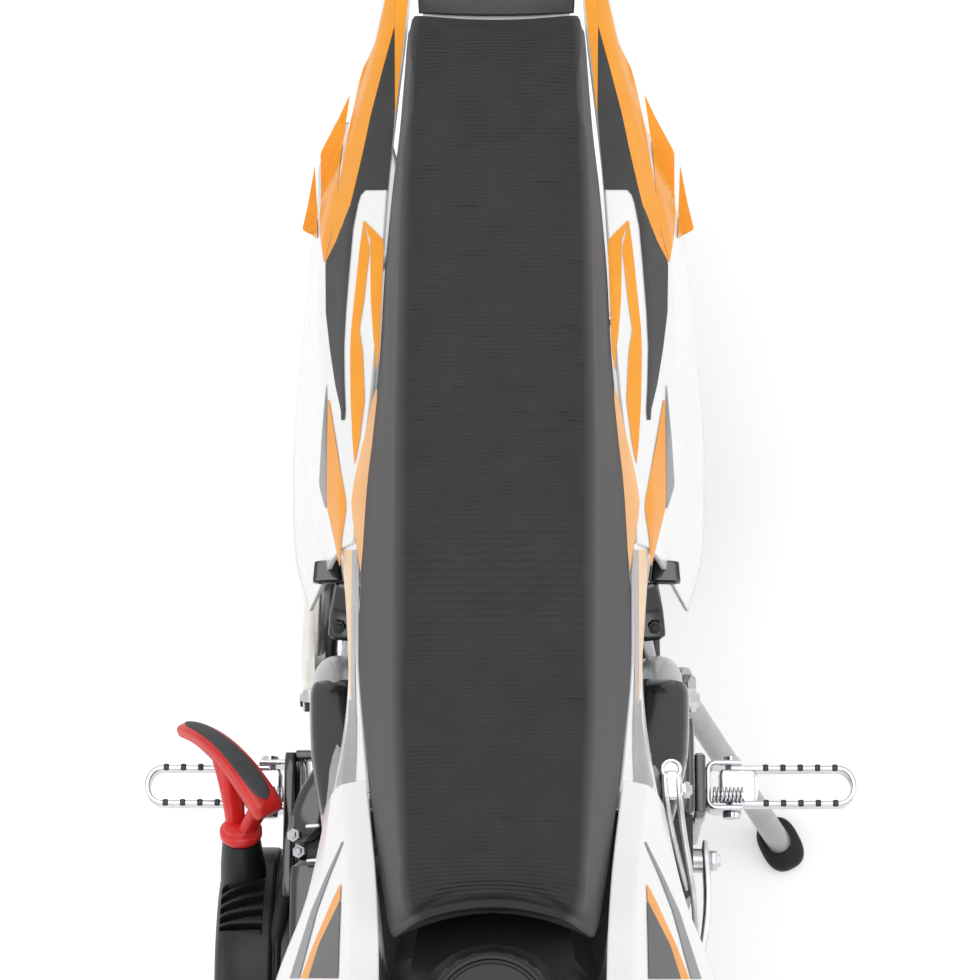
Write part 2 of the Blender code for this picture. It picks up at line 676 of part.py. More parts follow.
def fork_tubes():
    """Both outer tubes with the two clamps, the stem between them and the handlebar's clamps."""
    stem = -FORK_OFFSET
    pieces = [rod(fork_point(stem, 0, LOWER_CLAMP[0] + 0.004), fork_point(stem, 0, UPPER_CLAMP[1] - 0.004),
                  STEM_RADIUS, 20)]
    for side in (1, -1):
        y = side * FORK_HALF_SPACING
        pieces.append(rod(fork_point(0, y, FORK_TUBE_BOTTOM), fork_point(0, y, FORK_TOP), FORK_TUBE_RADIUS, 14))
        pieces.append(rod(fork_point(0, y, FORK_TUBE_BOTTOM - 0.001), fork_point(0, y, FORK_TUBE_BOTTOM + 0.02),
                          FORK_TUBE_RADIUS + 0.003, 14))
    for low, high in (LOWER_CLAMP, UPPER_CLAMP):
        for side in (1, -1):
            y = side * FORK_HALF_SPACING
            pieces.append(rod(fork_point(0, y, low), fork_point(0, y, high), FORK_TUBE_RADIUS + 0.007, 14))
        pieces.append(rod(fork_point(stem, 0, low), fork_point(stem, 0, high), HEAD_TUBE_RADIUS + 0.001, 14))
        reach = math.hypot(FORK_HALF_SPACING, FORK_OFFSET)
        for side in (1, -1):
            swept = math.atan2(side * FORK_HALF_SPACING, FORK_OFFSET)
            arm = FORK_FRAME @ Matrix.Translation((stem, 0, 0)) @ Matrix.Rotation(swept, 4, "Z")
            pieces.append(box((0.0, -CLAMP_ARM_HALF, low + 0.001), (reach, CLAMP_ARM_HALF, high - 0.001), 0.0, arm))
    for y in (-CLAMP_Y, CLAMP_Y):
        pieces.append(rod(fork_point(BAR_CENTRE[0], y, UPPER_CLAMP[0] + 0.004),
                          fork_point(BAR_CENTRE[0], y, BAR_CENTRE[1]), 0.012, 10))
        pieces.append(rod(BAR_MIDDLE + Vector((0, y - 0.011, 0)), BAR_MIDDLE + Vector((0, y + 0.011, 0)), 0.018, 12))
    bores = [bore(BAR_MIDDLE - Vector((0, 0.10, 0)), BAR_MIDDLE + Vector((0, 0.10, 0)), BAR_RADIUS, 12)]
    for side in (1, -1):
        y = side * FORK_HALF_SPACING
        bores.append(bore(fork_point(0, y, FORK_TUBE_BOTTOM - 0.01), fork_point(0, y, FORK_TUBE_BOTTOM + 0.02 + CLEAR),
                          FORK_LEG_RADIUS, 14))
    return cut(joined(pieces), bores)


BAR_MIDDLE = fork_point(BAR_CENTRE[0], 0, BAR_CENTRE[1])
# y, then how far the bar is ahead of and above its middle
GRIP_START = 0.222
GRIP_LENGTH = 0.112
BAR_END = GRIP_START + GRIP_LENGTH - 0.004
BAR_BENDS = ((0.065, 0.0, 0.0), (0.125, 0.002, 0.069), (0.165, -0.006, 0.081), (BAR_END, -0.038, 0.075))
CLAMP_Y = 0.024
PERCH_HALF = 0.011
PERCH_Y = GRIP_START - 2 * PERCH_HALF
PAD_HALF_LENGTH = 0.060
PAD_RADIUS = 0.019


def bar_point(y):
    """The point of the handlebar's centre line at that y."""
    side, reach = (1 if y >= 0 else -1), abs(y)
    corners = [(0.0, 0.0, 0.0), *BAR_BENDS]
    for (y0, x0, z0), (y1, x1, z1) in zip(corners, corners[1:]):
        if reach <= y1 + 1e-9 or (y1, x1, z1) == corners[-1]:
            t = (reach - y0) / (y1 - y0)
            return BAR_MIDDLE + Vector((x0 + (x1 - x0) * t, side * reach, z0 + (z1 - z0) * t))
    return None


def handlebar():
    half = [BAR_MIDDLE + Vector((x, y, z)) for y, x, z in BAR_BENDS]
    path = [Vector((p.x, -p.y, p.z)) for p in reversed(half)] + half
    bar = tube(path, BAR_RADIUS, bend=0.02, resolution=3)
    crossing = rod(bar_point(-0.108), bar_point(0.108), CROSSBAR_RADIUS, 10)
    return joined([bar, crossing])


def bar_pad():
    middle = (bar_point(-0.108) + bar_point(0.108)) / 2
    reach = Vector((0, PAD_HALF_LENGTH, 0))
    body = rod(middle - reach, middle + reach, PAD_RADIUS, 16)
    return cut(body, [bore(middle - reach * 2, middle + reach * 2, CROSSBAR_RADIUS, 10)])


def grip(side):
    inner, outer = (bar_point(side * y) for y in (GRIP_START, GRIP_START + GRIP_LENGTH))
    flange = inner + (outer - inner).normalized() * 0.004
    body = joined([rod(inner, outer, 0.0155, 12), rod(inner - (flange - inner) * 0.1, flange, 0.021, 12)])
    direction = (outer - inner).normalized()
    return cut(body, [bore(inner - direction * 0.02, bar_point(side * BAR_END) + direction * CLEAR, BAR_RADIUS)])


def lever(side):
    """The clamp on the bar, its pivot block and the blade in front of the grip."""
    at, outer = bar_point(side * PERCH_Y), bar_point(side * BAR_END)
    direction = (outer - at).normalized()
    near = at - direction * PERCH_HALF
    ahead = Vector((1, 0, -0.12)).normalized()
    ring = rod(near, at + direction * PERCH_HALF, 0.0165, 12)
    block = rod(at, at + ahead * 0.034, 0.009, 10)
    start = at + ahead * 0.036
    blade = tube([start - direction * 0.012, start + direction * 0.02 + ahead * 0.008,
                  start + direction * 0.075 + ahead * 0.010, start + direction * 0.125 + ahead * 0.004],
                 0.0055, bend=0.02, resolution=1)
    hole = bore(near - direction * 0.02, at + direction * 0.04, BAR_RADIUS)
    return cut(joined([ring, block, blade]), [hole])


NUMBER_PLATE_AHEAD = 0.044


def number_plate():
    """A flat plate in front of the fork tubes, on four stand-offs."""
    outline = [(-0.072, -0.085), (0.072, -0.085), (0.088, -0.040), (0.086, 0.050), (0.060, 0.090),
               (-0.060, 0.090), (-0.086, 0.050), (-0.088, -0.040)]
    facing = FORK_FRAME @ Matrix.Translation((NUMBER_PLATE_AHEAD, 0, 0.520)) @ Matrix((
        (0, 0, 1, 0), (1, 0, 0, 0), (0, 1, 0, 0), (0, 0, 0, 1)))
    pieces = [plate(outline, 0.003, facing)]
    for y in (-FORK_HALF_SPACING, FORK_HALF_SPACING):
        for up in (0.470, 0.530):
            pieces.append(rod(fork_point(FORK_TUBE_RADIUS - 0.002, y, up),
                              fork_point(NUMBER_PLATE_AHEAD, y, up), 0.006, 10))
    round_tubes = [bore(fork_point(0, y, 0.40), fork_point(0, y, 0.60), FORK_TUBE_RADIUS, 20)
                   for y in (-FORK_HALF_SPACING, FORK_HALF_SPACING)]
    return cut(joined(pieces), round_tubes)


def arched(table, thickness, columns=5, between=1):
    """A mudguard: each station is an arch of that half width whose edges drop."""
    rows = []
    for x, half, z, drop in smooth(table, between):
        across = np.linspace(-1, 1, columns)
        rows.append([(x, t * half, z - drop * t * t) for t in across])
    return sheet(rows, thickness, side=0.0)


def front_fender():
    boss = box((-0.025, -0.018, 0.336), (0.010, 0.018, LOWER_CLAMP[0] - CLEAR), 0.0, FORK_FRAME)
    return joined([arched(FRONT_FENDER, SHEET), boss])


def caliper(centre, disc_y, at, slot=0.0025, width=0.020):
    """A block that straddles the disc, with the running gap either side."""
    middle = disc_y + DISC_THICKNESS / 2
    body = box((-0.024, middle - width, -0.018), (0.024, middle + width, 0.018), 0.003,
               Matrix.Translation(at))
    gap = turned([(middle - DISC_THICKNESS / 2 - slot, 0.010), (middle - DISC_THICKNESS / 2 - slot, DISC_RADIUS + 0.003),
                  (middle + DISC_THICKNESS / 2 + slot, DISC_RADIUS + 0.003),
                  (middle + DISC_THICKNESS / 2 + slot, 0.010)], 40, Matrix.Translation(centre))
    return cut(body, [gap])


def steering():
    node("fork_tubes", fork_tubes(), "fork_black", STEERING)
    node("fork_legs", fork_legs(), "alloy", STEERING)
    for name, side in (("left", 1), ("right", -1)):
        node(f"grip_{name}", grip(side), "grip_rubber", STEERING)
        node(f"brake_lever_{name}", lever(side), "alloy", STEERING)
    node("handlebar", handlebar(), "fork_black", STEERING)
    node("bar_pad", bar_pad(), "black_plastic", STEERING)
    node("front_number_plate", number_plate(), "white_plastic", STEERING)
    node("front_fender", front_fender(), "white_plastic", STEERING)
    grip_point = FRONT_AXLE + Vector((-0.052, 0, 0.058))
    front = joined([caliper(FRONT_AXLE, FRONT_DISC_Y, grip_point, width=0.014),
                    rod(grip_point + Vector((0.006, FRONT_DISC_Y + 0.010, 0.0)),
                        fork_point(-0.004, FORK_HALF_SPACING - 0.010, 0.072), 0.006, 10)])
    around = [bore(fork_point(0, FORK_HALF_SPACING, 0.0), fork_point(0, FORK_HALF_SPACING, 0.2), FORK_LEG_RADIUS),
              box((-0.0193, FORK_HALF_SPACING - 0.0153, -0.03), (0.0193, FORK_HALF_SPACING + 0.0153, 0.0453), 0.0,
                  FORK_FRAME)]
    node("front_caliper", cut(front, around), "engine_black", STEERING)


# Frame


SPAR_HEAD = (tuple(fork_point(-0.0455, 0.0165, 0.4756)), tuple(fork_point(-0.0454, 0.0165, 0.434)))
SPAR = (SPAR_HEAD[0], (0.150, 0.046, 0.560), (0.040, 0.078, 0.516), (-0.080, 0.094, 0.474),
        (-0.156, 0.101, 0.440), (-0.150, 0.092, 0.340), (-0.130, 0.076, 0.275), (-0.122, 0.075, 0.217),
        (-0.080, 0.072, 0.217), (0.100, 0.066, 0.217), (0.165, 0.050, 0.290), (0.205, 0.026, 0.490),
        SPAR_HEAD[1])
SUBFRAME = ((-0.090, 0.088, 0.478), (-0.130, 0.050, 0.528), (-0.320, 0.044, 0.546), (-0.500, 0.036, 0.558))
SUBFRAME_STAY = ((-0.156, 0.096, 0.400), (-0.340, 0.050, 0.542))
HEAD_TUBE = (LOWER_CLAMP[1] + 0.0006, UPPER_CLAMP[0] - 0.0006)
PEG_BAR_Z = 0.196


def both(points):
    return [points, [(x, -y, z) for x, y, z in points]]


def main_frame():
    """The head tube, the two spars that bend down into the cradle, and their plates and cross-members."""
    head = rod(fork_point(-FORK_OFFSET, 0, HEAD_TUBE[0]), fork_point(-FORK_OFFSET, 0, HEAD_TUBE[1]),
               HEAD_TUBE_RADIUS, 18)
    pieces = [head] + [tube(side, SPAR_RADIUS, bend=0.035, resolution=2) for side in both(SPAR)]
    for low, high in (PIVOT_PLATE_Y, (-PIVOT_PLATE_Y[1], -PIVOT_PLATE_Y[0])):
        pieces.append(box((PIVOT.x - 0.020, low, PIVOT.z - 0.020), (PIVOT.x + 0.048, high, PIVOT.z + 0.040), 0.002))
    end = PEG_PLATE_Y[1] - 0.003
    pieces.append(rod((PEG_X, -end, PEG_BAR_Z), (PEG_X, end, PEG_BAR_Z), 0.010, 14))
    for side in (1, -1):
        pieces.append(rod((PEG_X, side * 0.074, PEG_BAR_Z), (PEG_X, side * 0.074, 0.217), 0.008, 10))
        low, high = sorted((side * PEG_PLATE_Y[0], side * PEG_PLATE_Y[1]))
        pieces.append(box((PEG_X - 0.020, low, PEG_BAR_Z - 0.014), (PEG_X + 0.020, high, PEG_Z + 0.014), 0.0015))
    pieces.append(rod((-0.156, -0.100, 0.430), (-0.156, 0.100, 0.430), 0.010, 14))
    pieces.append(rod((0.100, -0.066, 0.217), (0.100, 0.066, 0.217), 0.009, 12))
    for x in (-0.070, 0.060):
        for side in (1, -1):
            pieces.append(box((x - 0.012, min(side * 0.034, side * 0.072), 0.222),
                              (x + 0.012, max(side * 0.034, side * 0.072), 0.2277), 0.0))
    lug, outer = STAND_PIVOT - STAND_AXIS * 0.025, STAND_PIVOT + STAND_AXIS * 0.0085
    pieces.append(tube([(-0.132, 0.080, 0.232), (-0.160, 0.094, 0.226), lug + STAND_AXIS * 0.0075], 0.007, bend=0.01,
                       resolution=2))
    pieces.append(rod(lug, STAND_PIVOT - STAND_AXIS * (0.008 + CLEAR), 0.010, 12))
    pieces.append(rod(lug + STAND_AXIS * 0.003, outer + STAND_AXIS * 0.003, 0.004, 10))
    pieces.append(rod(outer, outer + STAND_AXIS * 0.004, 0.0075, 6))
    bores = [
        bore(fork_point(-FORK_OFFSET, 0, HEAD_TUBE[0] - 0.01), fork_point(-FORK_OFFSET, 0, HEAD_TUBE[1] + 0.01),
             STEM_RADIUS, 20, RUNNING),
        bore(PIVOT - Vector((0, 0.2, 0)), PIVOT + Vector((0, 0.2, 0)), PIVOT_TUBE_RADIUS, 20),
    ]
    return cut(joined(pieces), bores)


def subframe():
    """The seat rails, joined at the tail, with a stay on each side."""
    pieces = [tube(side, SUBFRAME_RADIUS, bend=0.03, resolution=2) for side in both(SUBFRAME)]
    pieces += [tube(side, SUBFRAME_RADIUS * 0.8, resolution=2) for side in both(SUBFRAME_STAY)]
    for x, y, z in (SUBFRAME[1], SUBFRAME[3]):
        pieces.append(rod((x, -y, z), (x, y, z), SUBFRAME_RADIUS, 8))
    around = [tube(side, SPAR_RADIUS + 0.0006, bend=0.035, resolution=2) for side in both(SPAR)]
    cross = bore((-0.156, -0.110, 0.430), (-0.156, 0.110, 0.430), 0.010, 14)
    return cut(joined(pieces), around + [cross])


ARM_PATH = ((PIVOT.x, PIVOT.z), (-0.300, 0.242), (REAR_AXLE_X, AXLE_Z))


def swingarm():
    """Two box arms outside the pivot plates, joined by the pivot tube and a bridge ahead of the tyre."""
    pieces = []
    for side in (1, -1):
        for (x0, z0), (x1, z1) in zip(ARM_PATH, ARM_PATH[1:]):
            y = side * (ARM_Y + ARM_THICKNESS / 2)
            start, end = Vector((x0, y, z0)), Vector((x1, y, z1))
            length = (end - start).length
            turn = Matrix.Translation(start) @ Matrix.Rotation(-math.atan2(z1 - z0, x1 - x0), 4, "Y")
            pieces.append(box((-0.004, -ARM_THICKNESS / 2, -ARM_HEIGHT / 2),
                              (length + 0.004, ARM_THICKNESS / 2, ARM_HEIGHT / 2), 0.003, turn))
        low, high = sorted((side * ARM_Y, side * (ARM_Y + ARM_THICKNESS + 0.002)))
        for x, z, radius in ((PIVOT.x, PIVOT.z, 0.019), (REAR_AXLE_X, AXLE_Z, 0.020)):
            pieces.append(rod((x, low, z), (x, high, z), radius, 14))
    pieces.append(rod(PIVOT - Vector((0, ARM_Y + 0.008, 0)), PIVOT + Vector((0, ARM_Y + 0.008, 0)),
                      PIVOT_TUBE_RADIUS, 14))
    pieces.append(rod((-0.245, -ARM_Y - 0.004, 0.257), (-0.245, ARM_Y + 0.004, 0.257), 0.011, 12))
    bores = [bore(PIVOT - Vector((0, 0.2, 0)), PIVOT + Vector((0, 0.2, 0)), AXLE_RADIUS, 10),
             bore(REAR_AXLE - Vector((0, 0.2, 0)), REAR_AXLE + Vector((0, 0.2, 0)), AXLE_RADIUS, 10)]
    return cut(joined(pieces), bores)


def through_bolt(centre, reach):
    """A bolt with a hexagon at each end, just outside the arms."""
    face = ARM_Y + ARM_THICKNESS + 0.002 + CLEAR
    shaft = rod(centre - Vector((0, reach, 0)), centre + Vector((0, reach, 0)), AXLE_RADIUS, 12)
    heads = [rod(centre + Vector((0, side * face, 0)), centre + Vector((0, side * (face + 0.009), 0)), 0.011, 6)
             for side in (1, -1)]
    return joined([shaft, *heads])


SHOCK_TOP = Vector((-0.156, 0, 0.430))
SHOCK_FOOT = Vector((-0.245, 0, 0.257))


def shock():
    """The damper and its spring between the frame's cross-member and the swingarm's bridge."""
    line = (SHOCK_FOOT - SHOCK_TOP).normalized()
    body = joined([
        rod(SHOCK_TOP, SHOCK_FOOT, 0.010, 10),
        rod(SHOCK_TOP + line * 0.028, SHOCK_TOP + line * 0.040, 0.025, 14),
        rod(SHOCK_TOP + line * 0.040, SHOCK_FOOT - line * 0.040, 0.021, 14),
        rod(SHOCK_FOOT - line * 0.040, SHOCK_FOOT - line * 0.030, 0.025, 14),
        rod(SHOCK_TOP - Vector((0, 0.014, 0)), SHOCK_TOP + Vector((0, 0.014, 0)), 0.017, 12),
        rod(SHOCK_FOOT - Vector((0, 0.014, 0)), SHOCK_FOOT + Vector((0, 0.014, 0)), 0.018, 12),
    ])
    return cut(body, [bore(SHOCK_TOP - Vector((0, 0.1, 0)), SHOCK_TOP + Vector((0, 0.1, 0)), 0.010, 10),
                      bore(SHOCK_FOOT - Vector((0, 0.1, 0)), SHOCK_FOOT + Vector((0, 0.1, 0)), 0.011, 10)])


REAR_GRIP = REAR_AXLE + Vector((0.066, 0, 0.024))


def rear_caliper():
    """The rear caliper, held off the right arm's inner face by one boss."""
    face = -ARM_Y + CLEAR
    boss = rod((REAR_GRIP.x, REAR_DISC_Y - 0.010, REAR_GRIP.z), (REAR_GRIP.x, face, REAR_GRIP.z), 0.007, 10)
    return joined([caliper(REAR_AXLE, REAR_DISC_Y, REAR_GRIP, width=0.014), boss])


def foot_peg(side):
    """A bracket on the peg plate and an open toothed loop."""
    face = PEG_PLATE_Y[1] + CLEAR
    y0, y1 = face + 0.016, PEG_TIP_Y
    half = PEG_WIDTH / 2
    outer = [(y0, -half), (y1 - half, -half)]
    outer += [(y1 - half + half * math.sin(a), -half * math.cos(a)) for a in np.linspace(0.5, math.pi - 0.5, 4)]
    outer += [(y1 - half, half), (y0, half)]
    wall = 0.0035
    inner = [(y0 + 0.018, -half + wall), (y1 - half, -half + wall), (y1 - wall, -0.003), (y1 - wall, 0.003),
             (y1 - half, half - wall), (y0 + 0.018, half - wall)]
    flat = Matrix.Translation((PEG_X, 0, PEG_Z)) @ Matrix(((0, 1, 0, 0), (side, 0, 0, 0), (0, 0, 1, 0), (0, 0, 0, 1)))
    loop = cut(plate(outer, 0.014, flat), [plate(inner, 0.030, flat)])
    low, high = sorted((side * face, side * (face + 0.024)))
    bracket = [box((PEG_X - half - 0.004, low, PEG_Z - 0.014), (PEG_X - half, high, PEG_Z + 0.010), 0.0),
               box((PEG_X + half, low, PEG_Z - 0.014), (PEG_X + half + 0.004, high, PEG_Z + 0.010), 0.0),
               box((PEG_X - half - 0.004, min(side * face, side * (face + 0.004)), PEG_Z - 0.014),
                   (PEG_X + half + 0.004, max(side * face, side * (face + 0.004)), PEG_Z + 0.010), 0.0)]
    pin_y = side * (face + 0.018)
    pin = rod((PEG_X - half - 0.008, pin_y, PEG_Z), (PEG_X + half + 0.008, pin_y, PEG_Z), 0.004, 10)
    return joined([loop, *bracket, pin])


# Side stand


def stand_leg():
    """The eye on the pivot and the tube down to its foot plate."""
    foot = STAND_FOOT + Vector((0, 0, STAND_PAD[2]))
    line = (foot - STAND_PIVOT).normalized()
    leg = joined([tube([STAND_PIVOT + line * 0.006, foot + line * 0.003], STAND_RADIUS, resolution=3),
                  rod(STAND_PIVOT - STAND_AXIS * 0.008, STAND_PIVOT + STAND_AXIS * 0.008, 0.012, 14)])
    return cut(leg, [bore(STAND_PIVOT - STAND_AXIS * 0.03, STAND_PIVOT + STAND_AXIS * 0.03, 0.004, 10, RUNNING)])


def stand_pad():
    """The rubber foot, flat on the ground that the leaning bike stands on."""
    length, width, height = STAND_PAD
    ends = [(side * (length / 2 - width / 2) + width / 2 * math.cos(a), width / 2 * math.sin(a))
            for side, span in ((1, (-1.4, 1.4)), (-1, (math.pi - 1.4, math.pi + 1.4)))
            for a in np.linspace(*span, 5)]
    flat = Matrix.Translation(STAND_FOOT) @ Matrix.Rotation(LEAN, 4, "X") @ Matrix.Rotation(
        math.radians(25), 4, "Z") @ Matrix.Translation((0, 0, height / 2 + 0.002))
    body = plate(ends, height + 0.004, flat)
    foot = STAND_FOOT + Vector((0, 0, STAND_PAD[2]))
    line = (foot - STAND_PIVOT).normalized()
    return cut(body, [tube([STAND_PIVOT + line * 0.05, foot + line * (0.003 + CLEAR)], STAND_RADIUS + 0.0006)])


# Engine


CASE_LOW = Vector((-0.105, -0.056, 0.2300))
CASE_HIGH = Vector((0.098, 0.056, 0.335))
LEFT_CASE_Y = 0.125
RIGHT_FLANGE_Y = (-0.138, -0.127)
RECOIL_CENTRE = Vector((0.012, 0, 0.262))
RECOIL_RADIUS = 0.088
RECOIL_OUTER_Y = -0.181
CYLINDER_FOOT = Vector((0.030, 0, CASE_HIGH.z + CLEAR))
CYLINDER_TILT = math.radians(15)
FIN_COUNT = 7
FIN_PITCH = 0.0105
EXHAUST_FLANGE_X = 0.056


def engine_cases():
    """The crankcase with the covers on both sides, and the flange that carries the starter."""
    middle = box(CASE_LOW, CASE_HIGH, 0.010)
    left_inner = box((-0.090, 0.050, 0.237), (0.080, 0.100, 0.318), 0.0)
    left_rear = box((-0.126, 0.0945, 0.236), (-0.030, LEFT_CASE_Y, 0.330), 0.008)
    left_front = box((-0.060, 0.0915, 0.240), (0.090, LEFT_CASE_Y - 0.020, 0.320), 0.006)
    y0, y1 = CASE_LOW.y + 0.004, RIGHT_FLANGE_Y[0] + 0.002
    drum = rod((RECOIL_CENTRE.x, y0, 0.277), (RECOIL_CENTRE.x, y1, 0.277), 0.041, 24)
    rear = rod((-0.058, y0, 0.279), (-0.058, RIGHT_FLANGE_Y[1], 0.279), 0.042, 24)
    bridge = box((-0.058, RIGHT_FLANGE_Y[1] + 0.004, 0.2385), (0.018, y0, 0.3175), 0.0)
    flange = rod((RECOIL_CENTRE.x, RIGHT_FLANGE_Y[0], RECOIL_CENTRE.z),
                 (RECOIL_CENTRE.x, RIGHT_FLANGE_Y[1] + 0.001, RECOIL_CENTRE.z), 0.084, 32)
    chain_room = box((-0.2, 0.0345, 0.2), (-0.072, 0.0560, 0.4), 0.0)
    return cut(joined([middle, left_inner, left_rear, left_front, drum, rear, bridge, flange]), [chain_room])


def recoil_starter():
    """The drum-shaped starter cover, with a rounded outer edge."""
    inner = RIGHT_FLANGE_Y[0] - CLEAR
    outer, radius = RECOIL_OUTER_Y, RECOIL_RADIUS
    profile = [(inner, 0.0), (inner, radius), (outer + 0.022, radius), (outer + 0.008, radius - 0.006),
               (outer, radius - 0.020), (outer - 0.002, 0.0)]
    cover = turned(profile, 32, Matrix.Translation(RECOIL_CENTRE))
    spout = rod(HANDLE_BASE - HANDLE_LINE * 0.040, HANDLE_BASE, HANDLE_RING_RADIUS, 12)
    return joined([cover, spout])


HANDLE_BASE = Vector((-0.0660, -0.165, 0.3425))
HANDLE_LINE = Vector((-0.644, 0.0, 0.767)).normalized()    # the way the rope pulls out
HANDLE_RING_RADIUS = 0.0125
GRIP_NEAR = Vector((-0.0835, -0.150, 0.374))
GRIP_FAR = Vector((-0.1577, -0.203, 0.333))
GRIP_BULGE = 0.0155         # how far the grip's middle bows away from the engine
GRIP_RADIUS = 0.0085
GRIP_STEPS = 6
LEG_RADIUS = 0.0055


def handle_point(share):
    """A point of the starter grip's bowed middle line."""
    straight = GRIP_NEAR.lerp(GRIP_FAR, share)
    return straight + HANDLE_LINE * (4 * GRIP_BULGE * share * (1 - share))


def pull_handle():
    """The starter's handle: a bowed grip on two legs, with a finger hole between them, over a round base."""
    base = HANDLE_BASE + HANDLE_LINE * CLEAR
    ring = rod(base, base + HANDLE_LINE * 0.009, HANDLE_RING_RADIUS, 18)
    grip_bar = tube([handle_point(i / GRIP_STEPS) for i in range(GRIP_STEPS + 1)], GRIP_RADIUS, resolution=2)
    across = (GRIP_FAR - GRIP_NEAR).normalized() * (HANDLE_RING_RADIUS - LEG_RADIUS)
    legs = [rod(base - across + HANDLE_LINE * 0.005, handle_point(0.06), LEG_RADIUS, 10),
            rod(base + across + HANDLE_LINE * 0.005, handle_point(0.52), LEG_RADIUS, 10)]
    return joined([ring, grip_bar, *legs])


def cylinder():
    """The finned barrel and head, leaning forwards."""
    turn = Matrix.Translation(CYLINDER_FOOT) @ Matrix.Rotation(CYLINDER_TILT, 4, "Y")
    core = rod((0, 0, 0.0), (0, 0, 0.112), 0.030, 12)
    pieces = [placed(core, turn)]
    for i in range(FIN_COUNT):
        z = 0.022 + i * FIN_PITCH
        half = 0.046 if i < FIN_COUNT - 2 else 0.042
        pieces.append(box((-half, -half, z), (half, half, z + 0.003), 0.0, turn))
    pieces.append(placed(rod((0, 0, 0.11), (0, 0, 0.135), 0.009, 8), turn))
    pieces.append(box((0.020, -0.020, 0.018), (EXHAUST_FLANGE_X, 0.020, 0.056), 0.0, turn))
    flat = box((-0.2, -0.2, -0.1), (0.2, 0.2, 0.0), 0.0, Matrix.Translation(CYLINDER_FOOT))
    return cut(joined(pieces), [flat])


FRONT_SPROCKET = Vector((-0.112, 0, 0.272))
FRONT_LOOP_RADIUS = 0.026


def front_sprocket():
    """The small sprocket with the end of its shaft, clear of the crankcase."""
    wheel = sprocket(FRONT_SPROCKET, SPROCKET_Y, 15, 0.006)
    return joined([wheel, rod(FRONT_SPROCKET + Vector((0, 0.0345 + CLEAR, 0)), FRONT_SPROCKET + Vector((0, 0.0525, 0)), 0.0085, 12)])


CHAIN_HALF_WIDTH = 0.0065
CHAIN_HALF_HEIGHT = 0.0042


def chain():
    """One closed loop round both sprockets, clear of the teeth of the turning one."""
    y = SPROCKET_Y + SPROCKET_THICKNESS / 2
    front, rear = FRONT_SPROCKET, REAR_AXLE
    small, large = FRONT_LOOP_RADIUS, SPROCKET_PITCH_RADIUS + 0.0095
    span = front - rear
    reach = math.hypot(span.x, span.z)
    heading = math.atan2(span.z, span.x)
    swing = math.acos((large - small) / reach)
    loop = []
    for angle in np.linspace(heading + swing, heading + 2 * math.pi - swing, 21):
        loop.append((rear.x + large * math.cos(angle), rear.z + large * math.sin(angle)))
    for angle in np.linspace(heading - swing, heading + swing, 9):
        loop.append((front.x + small * math.cos(angle), front.z + small * math.sin(angle)))
    centre = np.mean(loop, axis=0)
    half = CHAIN_HALF_HEIGHT
    rings = []
    count = len(loop)
    for i in range(count):
        (xa, za), (xb, zb), (xc, zc) = loop[i - 1], loop[i], loop[(i + 1) % count]
        tangent = Vector((xc - xa, zc - za)).normalized()
        outward = Vector((tangent.y, -tangent.x))
        if outward.dot(Vector((xb - centre[0], zb - centre[1]))) < 0:
            outward = -outward
        ring = [(xb + outward.x * s * half, y + w * CHAIN_HALF_WIDTH, zb + outward.y * s * half)
                for s, w in ((-1, -1), (1, -1), (1, 1), (-1, 1))]
        rings.append(ring)
    shape = bmesh.new()
    rows = [[shape.verts.new(p) for p in ring] for ring in rings]
    for near, far in zip(rows, rows[1:] + rows[:1]):
        for i in range(4):
            j = (i + 1) % 4
            shape.faces.new((near[i], near[j], far[j], far[i]))
    return facing_out(from_bmesh("chain", shape))


FOOT_LEVER = ((0.088, 0.1100), (0.070, 0.115), (-0.020, 0.1335), (-0.075, 0.1335))


def foot_lever():
    """A flat slotted lever along the left cover, with its bolt and a pad at the front."""
    pieces = []
    for (x0, y0), (x1, y1) in zip(FOOT_LEVER, FOOT_LEVER[1:]):
        start, end = Vector((x0, y0, 0.300)), Vector((x1, y1, 0.300))
        turn = Matrix.Translation(start) @ Matrix.Rotation(math.atan2(y1 - y0, x1 - x0), 4, "Z")
        pieces.append(box((-0.002, -0.0025, -0.010), ((end - start).length + 0.002, 0.0025, 0.010), 0.0, turn))
    pieces.append(rod((-0.062, LEFT_CASE_Y + CLEAR, 0.300), (-0.062, 0.1420, 0.300), 0.008, 12))
    pieces.append(rod((0.086, 0.1085, 0.300), (0.086, 0.142, 0.300), 0.006, 10))
    return joined(pieces)


def carburettor():
    body = joined([box((-0.085, -0.022, 0.350), (-0.040, 0.022, 0.410), 0.004),
                   rod((-0.045, 0, 0.385), (0.010, 0, 0.385), 0.014, 14)])
    turn = Matrix.Translation(CYLINDER_FOOT) @ Matrix.Rotation(CYLINDER_TILT, 4, "Y")
    keep_out = box((-0.0463, -0.1, -0.02), (0.2, 0.1, 0.2), 0.0, turn)
    return cut(body, [keep_out])


def air_filter():
    profile = [(0, 0), (0, 0.032), (0.006, 0.032), (0.006, 0.029), (0.050, 0.029), (0.054, 0.024), (0.054, 0)]
    return turned(profile, 20, Matrix.Translation((-0.085 - CLEAR, 0, 0.385)) @ Matrix.Rotation(math.pi / 2, 4, "Z"))


